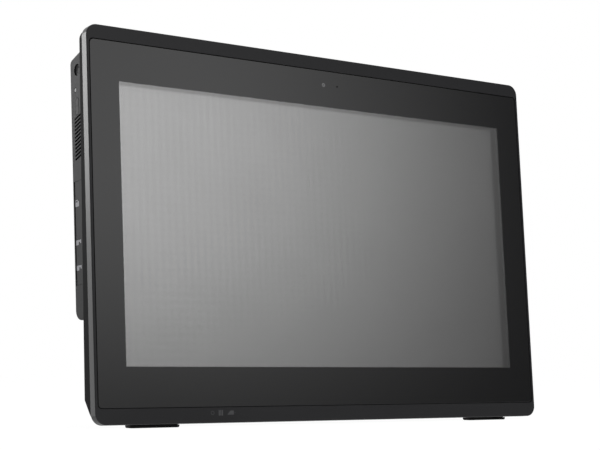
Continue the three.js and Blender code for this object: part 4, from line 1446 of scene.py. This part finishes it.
class COMPUTER_OT_connectors(bpy.types.Operator):
    """Sockets in the bay under the housing and behind the side door"""

    bl_idname = "computer.connectors"
    bl_label = "Connectors"

    def execute(self, context):
        for node in ("usb_stack_left", "usb_stack_right"):
            self.usb(node, 2)
        for node in ("side_usb_upper", "side_usb_lower"):
            self.usb(node, 1)
        for node in ("lan_port_left", "lan_port_right"):
            self.network(node)
        self.video("hdmi_port")
        self.power("dc_jack")
        for node in ("headphone_jack", "microphone_jack"):
            self.audio(node)
        return {"FINISHED"}

    @staticmethod
    def usb(node, rows):
        mouth_width, mouth_height, mouth_depth = 12.5 * MM, 5.12 * MM, 10.5 * MM
        wall = 0.45 * MM
        row_pitch = mouth_height + 1.8 * MM
        contacts, contact_pitch = 4, 2.4 * MM
        body = socket_body(node, "port_shell")
        fittings = []
        mouths = []
        for row in range(rows):
            low = wall + row * row_pitch
            mouths.append(add_block(
                "mouth_tool", (-mouth_width / 2, low, -SAFE),
                (mouth_width / 2, low + mouth_height, mouth_depth),
            ))
            tongue = add_block(
                "tongue", (-mouth_width / 2 + 0.7 * MM, low + 2.9 * MM, 4.6 * MM),
                (mouth_width / 2 - 0.7 * MM, low + 4.7 * MM, mouth_depth + 0.01 * MM),
            )
            soften(tongue, 0.15 * MM, 1)
            fittings.append(paint(tongue, "port_insert"))
            for contact in range(contacts):
                x = (contact - (contacts - 1) / 2) * contact_pitch
                strip = add_block(
                    "contact", (x - 0.5 * MM, low + 2.75 * MM, 5.2 * MM),
                    (x + 0.5 * MM, low + 2.89 * MM, mouth_depth - 0.2 * MM),
                )
                fittings.append(paint(strip, "contact_gold"))
        cut(body, *mouths)
        soften(body, 0.12 * MM, 1)
        finish_socket(node, body, fittings)

    @staticmethod
    def network(node):
        body = socket_body(node, "port_shell")
        mouth_depth = 13 * MM
        half, clip_half = 5.9 * MM, 3.1 * MM
        wide = add_block("mouth_tool", (-half, 2.4 * MM, -SAFE), (half, 9.2 * MM, mouth_depth))
        clip = add_block(
            "mouth_tool", (-clip_half, 9.1 * MM, -SAFE), (clip_half, 11.4 * MM, mouth_depth),
        )
        weld(wide, clip)
        cut(body, wide)
        soften(body, 0.15 * MM, 1)
        fittings = []
        wires, pitch = 8, 1.02 * MM
        for contact in range(wires):
            x = (contact - (wires - 1) / 2) * pitch
            wire = add_rod(
                "contact", (x, 2.7 * MM, 5 * MM), (x, 4.2 * MM, mouth_depth - 0.1 * MM),
                0.2 * MM, 10,
            )
            fittings.append(paint(wire, "contact_gold"))
        for x in (-5.6 * MM, 5.6 * MM):
            lamp = add_block(
                "lamp", (x - 1.1 * MM, 10.4 * MM, -0.05 * MM), (x + 1.1 * MM, 12.2 * MM, 1 * MM),
            )
            fittings.append(paint(lamp, "clear_plastic"))
        finish_socket(node, body, fittings)

    @staticmethod
    def video(node):
        body = socket_body(node, "port_shell")
        half, lower = 7.1 * MM, 0.8 * MM
        mouth = add_block("mouth_tool", (-half, lower, -SAFE), (half, 5.5 * MM, 9 * MM))
        round_edges(mouth, all_of(along(Z), at(Y, lower)), 1.8 * MM, 1)
        cut(body, mouth)
        soften(body, 0.12 * MM, 1)
        tongue = add_block("tongue", (-5 * MM, 2.9 * MM, 4.7 * MM), (5 * MM, 4 * MM, 9.01 * MM))
        finish_socket(node, body, [paint(tongue, "port_insert")])

    @staticmethod
    def power(node):
        body = socket_body(node, "port_insert")
        centre = 5.6 * MM
        tip, floor = 1 * MM, 9.5 * MM
        cut(body, add_rod("mouth_tool", (0, centre, -SAFE), (0, centre, floor), 3.2 * MM, 40))
        soften(body, 0.2 * MM)
        pin = add_rod("pin", (0, centre, tip), (0, centre, floor + 0.01 * MM), 1 * MM, 20)
        round_edges(pin, at(Z, tip), 0.4 * MM, 3)
        finish_socket(node, body, [paint(pin, "port_shell")])

    @staticmethod
    def audio(node):
        body = socket_body(node, "port_insert")
        centre = 3.2 * MM
        cut(body, add_rod("mouth_tool", (0, centre, -SAFE), (0, centre, 10 * MM), 1.8 * MM, 32))
        soften(body, 0.15 * MM)
        ring = add_rod("ring", (0, centre, -0.05 * MM), (0, centre, 1.5 * MM), 2.5 * MM, 32)
        cut(ring, add_rod("mouth_tool", (0, centre, -SAFE), (0, centre, 3 * MM), 1.85 * MM, 32))
        finish_socket(node, body, [paint(ring, "port_shell")])


# ---------------------------------------------------------------- stand, feet and screws


class COMPUTER_OT_stand(bpy.types.Operator):
    """Fold-out stand: bracket, hinge pin, leg and rubber foot"""

    bl_idname = "computer.stand"
    bl_label = "Stand"

    def execute(self, context):
        stand = context.scene.computer_stand
        pivot = panel_middle("stand_pin")
        leg_low, leg_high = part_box("stand_leg")
        half = (leg_high.x - leg_low.x) / 2
        self.bracket(stand, pivot, half)
        self.pin(stand, pivot)
        hinge = Vector(JOINTS["stand_hinge"]["pos_m"])
        swing = Matrix.Translation(hinge) @ Matrix.Rotation(stand.leg_angle, 4, "X")
        reach = hinge.z / math.cos(stand.leg_angle)
        self.leg(stand, half, reach, swing)
        self.pad(stand, reach, swing)
        return {"FINISHED"}

    @staticmethod
    def bracket(stand, pivot, half):
        low, high = panel_box("stand_bracket")
        rear = low.y + stand.plate_thickness
        piece = add_block("stand_hanger", low, (high.x, rear, high.z))
        round_edges(piece, along(Y), 4 * MM, 8)
        radius = high.y - pivot.y
        ears = []
        for x in (-half - SEAT_GAP - stand.ear_thickness, half + SEAT_GAP):
            ear = add_block(
                "ear", (x, rear - 0.5 * MM, low.z + 1 * MM),
                (x + stand.ear_thickness, high.y, high.z - 1 * MM),
            )
            span = (high.z - low.z) / 2 - 1 * MM
            scale_face(ear, at(Y, high.y), (1, 1, radius / span), (x, high.y, (low.z + high.z) / 2))
            with editing(ear, "FACE"):
                pick(ear, "FACE", at(Y, high.y))
                bpy.ops.transform.translate(value=(0, 0, pivot.z - (low.z + high.z) / 2))
            round_edges(ear, all_of(along(X), at(Y, high.y)), radius * 0.8, 8)
            ears.append(ear)
        weld(piece, *ears)
        holes = [add_rod(
            "bore_tool", (-half - 12 * MM, pivot.y, pivot.z), (half + 12 * MM, pivot.y, pivot.z),
            stand.pin_radius + SEAT_GAP, 40,
        )]
        for number in range(1, 5):
            centre = panel_middle(f"bracket_screw_{number}")
            holes.append(add_rod(
                "hole_tool", (centre.x, low.y - SAFE, centre.z), (centre.x, rear + SAFE, centre.z),
                1.8 * MM,
            ))
        cut(piece, *holes)
        soften(piece, 0.3 * MM)
        hand_over(piece, "root", "stand_bracket")

    @staticmethod
    def pin(stand, pivot):
        low, high = panel_box("stand_pin")
        head = 1.4 * MM
        piece = add_rod(
            "hinge_pin", (low.x + 0.5 * head, pivot.y, pivot.z),
            (high.x - 0.5 * head, pivot.y, pivot.z), stand.pin_radius, 40,
        )
        head_radius = (high.z - low.z) / 2
        heads = [
            add_rod("head", (x, pivot.y, pivot.z), (x + head, pivot.y, pivot.z), head_radius, 40)
            for x in (low.x, high.x - head)
        ]
        weld(piece, *heads)
        soften(piece, 0.25 * MM)
        hand_over(piece, "root", "stand_pin")

    @staticmethod
    def leg(stand, half, reach, swing):
        """Drawn hanging straight down from its hinge, then swung out."""
        end = reach - stand.pad_rise / math.cos(stand.leg_angle)
        sheet = stand.leg_thickness / 2
        piece = add_block("stand_plate", (-half, -sheet, -end), (half, sheet, -2 * MM))
        round_edges(piece, all_of(along(Y), at(Z, -end)), 6 * MM, 8)
        barrel = add_rod("barrel", (-half, 0, 0), (half, 0, 0), stand.barrel_radius, 56)
        weld(piece, barrel)
        middle = -reach / 2
        hole = add_block(
            "cable_tool", (-stand.hole_width / 2, -2 * sheet, middle - stand.hole_height / 2),
            (stand.hole_width / 2, 2 * sheet, middle + stand.hole_height / 2),
        )
        round_edges(hole, along(Y), 7 * MM, 8)
        bore = add_rod(
            "bore_tool", (-half - SAFE, 0, 0), (half + SAFE, 0, 0), stand.pin_radius + SEAT_GAP, 40,
        )
        cut(piece, hole, bore)
        soften(piece, 0.4 * MM)
        placed(piece, swing)
        hand_over(piece, "stand", "stand_leg", lean=False)

    @staticmethod
    def pad(stand, reach, swing):
        """Drawn where it stands on the floor, below the leg's end."""
        low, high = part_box("stand_pad")
        piece = add_block("stand_foot", low, high)
        top_rear = all_of(along(X), at(Z, high.z), at(Y, high.y))
        nose = (high.y - low.y) / 2 - 1 * MM
        round_edges(piece, top_rear, nose, 1)
        slot_end = reach - (stand.pad_rise - SEAT_GAP) / math.cos(stand.leg_angle)
        leg_low, leg_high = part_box("stand_leg")
        sheet = stand.leg_thickness / 2 + SEAT_GAP
        play = 0.4 * MM
        tool = add_block(
            "slot_tool", (leg_low.x - play, -sheet, -slot_end),
            (leg_high.x + play, sheet, -slot_end / 2),
        )
        placed(tool, swing)
        cut(piece, tool)
        first, pitch = low.y + 3.5 * MM, 3.3 * MM
        groove = add_rod(
            "groove_tool", (low.x - SAFE, first, low.z), (high.x + SAFE, first, low.z),
            0.5 * MM, 16,
        )
        cut(piece, repeat(groove, 4, (0, pitch, 0)))
        soften(piece, 0.35 * MM, 3)
        hand_over(piece, "stand", "stand_pad", lean=False)


class COMPUTER_OT_feet(bpy.types.Operator):
    """Rubber feet under the front frame"""

    bl_idname = "computer.feet"
    bl_label = "Front feet"

    def execute(self, context):
        for node in ("foot_left", "foot_right"):
            self.foot(node)
        return {"FINISHED"}

    @staticmethod
    def foot(node):
        """The foot's top follows the bevel under the body, and its base lies flat on the floor."""
        housing = bpy.context.scene.computer_housing
        low, high = panel_box(node)
        shell_low, shell_high = panel_box("body_shell")
        piece = add_block(f"{node}_rubber", low, high)
        up = (PANEL.to_3x3().inverted() @ Vector((0, 0, 1))).normalized()
        floor = PANEL.inverted() @ Vector((0, 0, 0))
        slice_off(piece, floor, -up)
        rise, depth = shell_low.z - housing.bevel_rise, shell_high.y - shell_low.y
        over = Vector((0, rise, depth)).normalized()
        edge = Vector((0, shell_low.y, shell_low.z))
        slice_off(piece, edge - over * SEAT_GAP, over)
        step = add_block(
            "step_tool", (low.x - SAFE, low.y - SAFE, -SEAT_GAP),
            (high.x + SAFE, shell_low.y, high.z + SAFE),
        )
        cut(piece, step)
        with editing(piece, "EDGE"):
            pick(piece, "EDGE", all_of(
                at(X, low.x, high.x), lambda edge: all(v.co.z < -1.5 * MM for v in edge.verts),
            ))
            bpy.ops.mesh.bevel(offset=1.2 * MM, segments=3, affect="EDGES", clamp_overlap=True)
        soften(piece, 0.15 * MM)
        hand_over(piece, "root", node)


class COMPUTER_OT_screws(bpy.types.Operator):
    """Pan-head screws in the housing and in the stand's bracket"""

    bl_idname = "computer.screws"
    bl_label = "Screws"

    def execute(self, context):
        for family in ("bracket_screw", "housing_screw"):
            nodes = [f"{family}_{number}" for number in range(1, 5)]
            pattern = self.screw(nodes[0])
            pattern_place = panel_middle(nodes[0])
            for node in nodes[1:]:
                copy = copied(pattern, f"{node}_panhead")
                placed(copy, Matrix.Translation(panel_middle(node) - pattern_place))
                hand_over(copy, "root", node)
            hand_over(pattern, "root", nodes[0])
        return {"FINISHED"}

    @staticmethod
    def screw(node):
        low, high = panel_box(node)
        centre = (low + high) / 2
        head_radius = (high.x - low.x) / 2
        head_base = high.y - 1.2 * MM
        piece = add_rod(
            f"{node}_panhead", (centre.x, head_base, centre.z), (centre.x, high.y, centre.z),
            head_radius, 40,
        )
        round_edges(piece, at(Y, high.y), 0.55 * MM, 5)
        shank = add_rod(
            "shank", (centre.x, low.y, centre.z), (centre.x, head_base + 0.1 * MM, centre.z),
            1.5 * MM, 24,
        )
        weld(piece, shank)
        arm, half = 1.6 * MM, 0.4 * MM
        for across, up in ((arm, half), (half, arm)):
            cut(piece, add_block(
                "recess_tool", (centre.x - across, high.y - 0.7 * MM, centre.z - up),
                (centre.x + across, high.y + SAFE, centre.z + up),
            ))
        soften(piece, 0.06 * MM, 1)
        return piece


class COMPUTER_OT_inner_parts(bpy.types.Operator):
    """Finishes on the CAD parts that are shown as they are"""

    bl_idname = "computer.inner_parts"
    bl_label = "Inner parts"

    def execute(self, context):
        for name, node in frame["nodes"].items():
            node.data.materials.clear()
            node.data.materials.append(material(SLOTS[name]))
        return {"FINISHED"}


# ---------------------------------------------------------------- stage


class COMPUTER_OT_studio(bpy.types.Operator):
    """Pale floor, soft studio light and the camera"""

    bl_idname = "computer.studio"
    bl_label = "Studio"

    def execute(self, context):
        studio = context.scene.computer_studio
        context.scene.view_settings.view_transform = "Standard"
        self.floor()
        self.world(context.scene, studio)
        self.lamp(
            "key_lamp", place=(0.3, -0.5, 1.5), target=(0, 0, 0.1), size=(1.4, 1.0),
            power=studio.key_power,
        )
        self.lamp(
            "rim_lamp", place=(-1.05, 1.25, 0.7), target=(-0.19, 0, 0.16), size=(0.75, 0.7),
            power=studio.rim_power,
        )
        self.camera(context.scene, studio)
        return {"FINISHED"}

    @staticmethod
    def floor():
        """White where a camera or a mirror sees it, though the shadow shows, and matt for light."""
        deselect()
        bpy.ops.mesh.primitive_plane_add(size=16)
        floor = settle("floor")
        made, nodes = new_material("pale_floor")
        seen = nodes.ray("Is Camera Ray").math("MAXIMUM", nodes.ray("Is Glossy Ray"))
        seen = seen.math("MAXIMUM", nodes.ray("Is Transmission Ray"))
        white_share, brightness = 0.9, 1.07
        matt = nodes.make("ShaderNodeBsdfDiffuse", {}, {"Color": (0.8, 0.8, 0.8, 1)})
        glow = nodes.make("ShaderNodeEmission", {}, {"Color": (1, 1, 1, 1), "Strength": brightness})
        mix = nodes.make("ShaderNodeMixShader", {}, {0: seen * white_share, 1: matt, 2: glow})
        nodes.make("ShaderNodeOutputMaterial", {}, {"Surface": mix})
        floor.data.materials.append(made)

    @staticmethod
    def world(scene, studio):
        """White behind the object, and in front of it a dim room with one softbox."""
        scene.world = bpy.data.worlds.new("studio")
        nodes = Nodes(scene.world)
        x, y, z = nodes.split(nodes.make("ShaderNodeTexCoord", output="Generated"))
        heading = x.math("ARCTAN2", -1 * y) * (180 / math.pi)
        height = z.math("ARCSINE") * (180 / math.pi)
        # The softbox fades out from its middle to each of its edges, all in degrees.
        right_edge, right_start, left_edge, left_start = 47, 31, -14, 6
        lower_edge, upper_edge, height_start = -0.5, 46, 15
        box = nodes.ramp(heading, right_edge, right_start)
        box = box * nodes.ramp(heading, left_edge, left_start)
        box = box * nodes.ramp(height, lower_edge, height_start)
        box = box * nodes.ramp(height, upper_edge, height_start)
        camera_ray = nodes.ray("Is Camera Ray")
        mirror_ray = nodes.ray("Is Glossy Ray").math("MAXIMUM", nodes.ray("Is Transmission Ray"))
        behind = nodes.ramp(y, 0.2, 0.7)
        white = camera_ray.math("MAXIMUM", mirror_ray * behind)
        dim = 1 - mirror_ray * 0.9
        room = dim * studio.ambient + box * studio.softbox
        strength = white + (1 - white) * room
        background = nodes.make(
            "ShaderNodeBackground", {}, {"Color": (1, 1, 1, 1), "Strength": strength},
        )
        nodes.make("ShaderNodeOutputWorld", {}, {"Surface": background})

    @staticmethod
    def lamp(name, place, target, size, power):
        data = bpy.data.lights.new(name, "AREA")
        data.shape = "RECTANGLE"
        data.size, data.size_y = size
        data.energy = power
        lamp = bpy.data.objects.new(name, data)
        bpy.context.scene.collection.objects.link(lamp)
        lamp.location = place
        lamp.rotation_euler = (Vector(place) - Vector(target)).to_track_quat("Z", "Y").to_euler()
        lamp.visible_camera = False

    @staticmethod
    def camera(scene, studio):
        data = bpy.data.cameras.new("camera")
        data.lens = studio.lens
        data.shift_y = studio.shift
        camera = bpy.data.objects.new("camera", data)
        scene.collection.objects.link(camera)
        level, turn = studio.elevation, studio.azimuth
        ahead = Vector((
            math.sin(turn) * math.cos(level), math.cos(turn) * math.cos(level), math.sin(level),
        ))
        look = ahead.to_track_quat("-Z", "Y").to_matrix().to_4x4()
        camera.matrix_world = Matrix.Translation(studio.camera_place) @ look
        scene.camera = camera


# ---------------------------------------------------------------- add-on


OPERATORS = (
    COMPUTER_OT_studio, COMPUTER_OT_inner_parts, COMPUTER_OT_front_frame, COMPUTER_OT_cover_glass,
    COMPUTER_OT_display, COMPUTER_OT_body_shell, COMPUTER_OT_rear_housing,
    COMPUTER_OT_side_controls, COMPUTER_OT_port_door, COMPUTER_OT_connectors, COMPUTER_OT_stand,
    COMPUTER_OT_feet, COMPUTER_OT_screws,
)
SETTINGS = {
    "computer_front": FrontSettings,
    "computer_housing": HousingSettings,
    "computer_stand": StandSettings,
    "computer_studio": StudioSettings,
}


class COMPUTER_PT_panel(bpy.types.Panel):
    """Sizes, colours and pieces of the computer"""

    bl_label = "All-in-one computer"
    bl_space_type = "VIEW_3D"
    bl_region_type = "UI"
    bl_category = "Computer"

    def draw(self, context):
        for attribute, group in SETTINGS.items():
            box = self.layout.box()
            for name in group.__annotations__:
                box.prop(getattr(context.scene, attribute), name)
        for operator in OPERATORS:
            self.layout.operator(operator.bl_idname)


def register():
    for group in (*SETTINGS.values(), *OPERATORS, COMPUTER_PT_panel):
        bpy.utils.register_class(group)
    for attribute, group in SETTINGS.items():
        setattr(bpy.types.Scene, attribute, PointerProperty(type=group))


def unregister():
    for attribute in SETTINGS:
        delattr(bpy.types.Scene, attribute)
    for group in (COMPUTER_PT_panel, *OPERATORS, *SETTINGS.values()):
        bpy.utils.unregister_class(group)


def main():
    register()
    for operator in OPERATORS:
        module, name = operator.bl_idname.split(".")
        getattr(getattr(bpy.ops, module), name)()


if __name__ == "__main__":
    main()
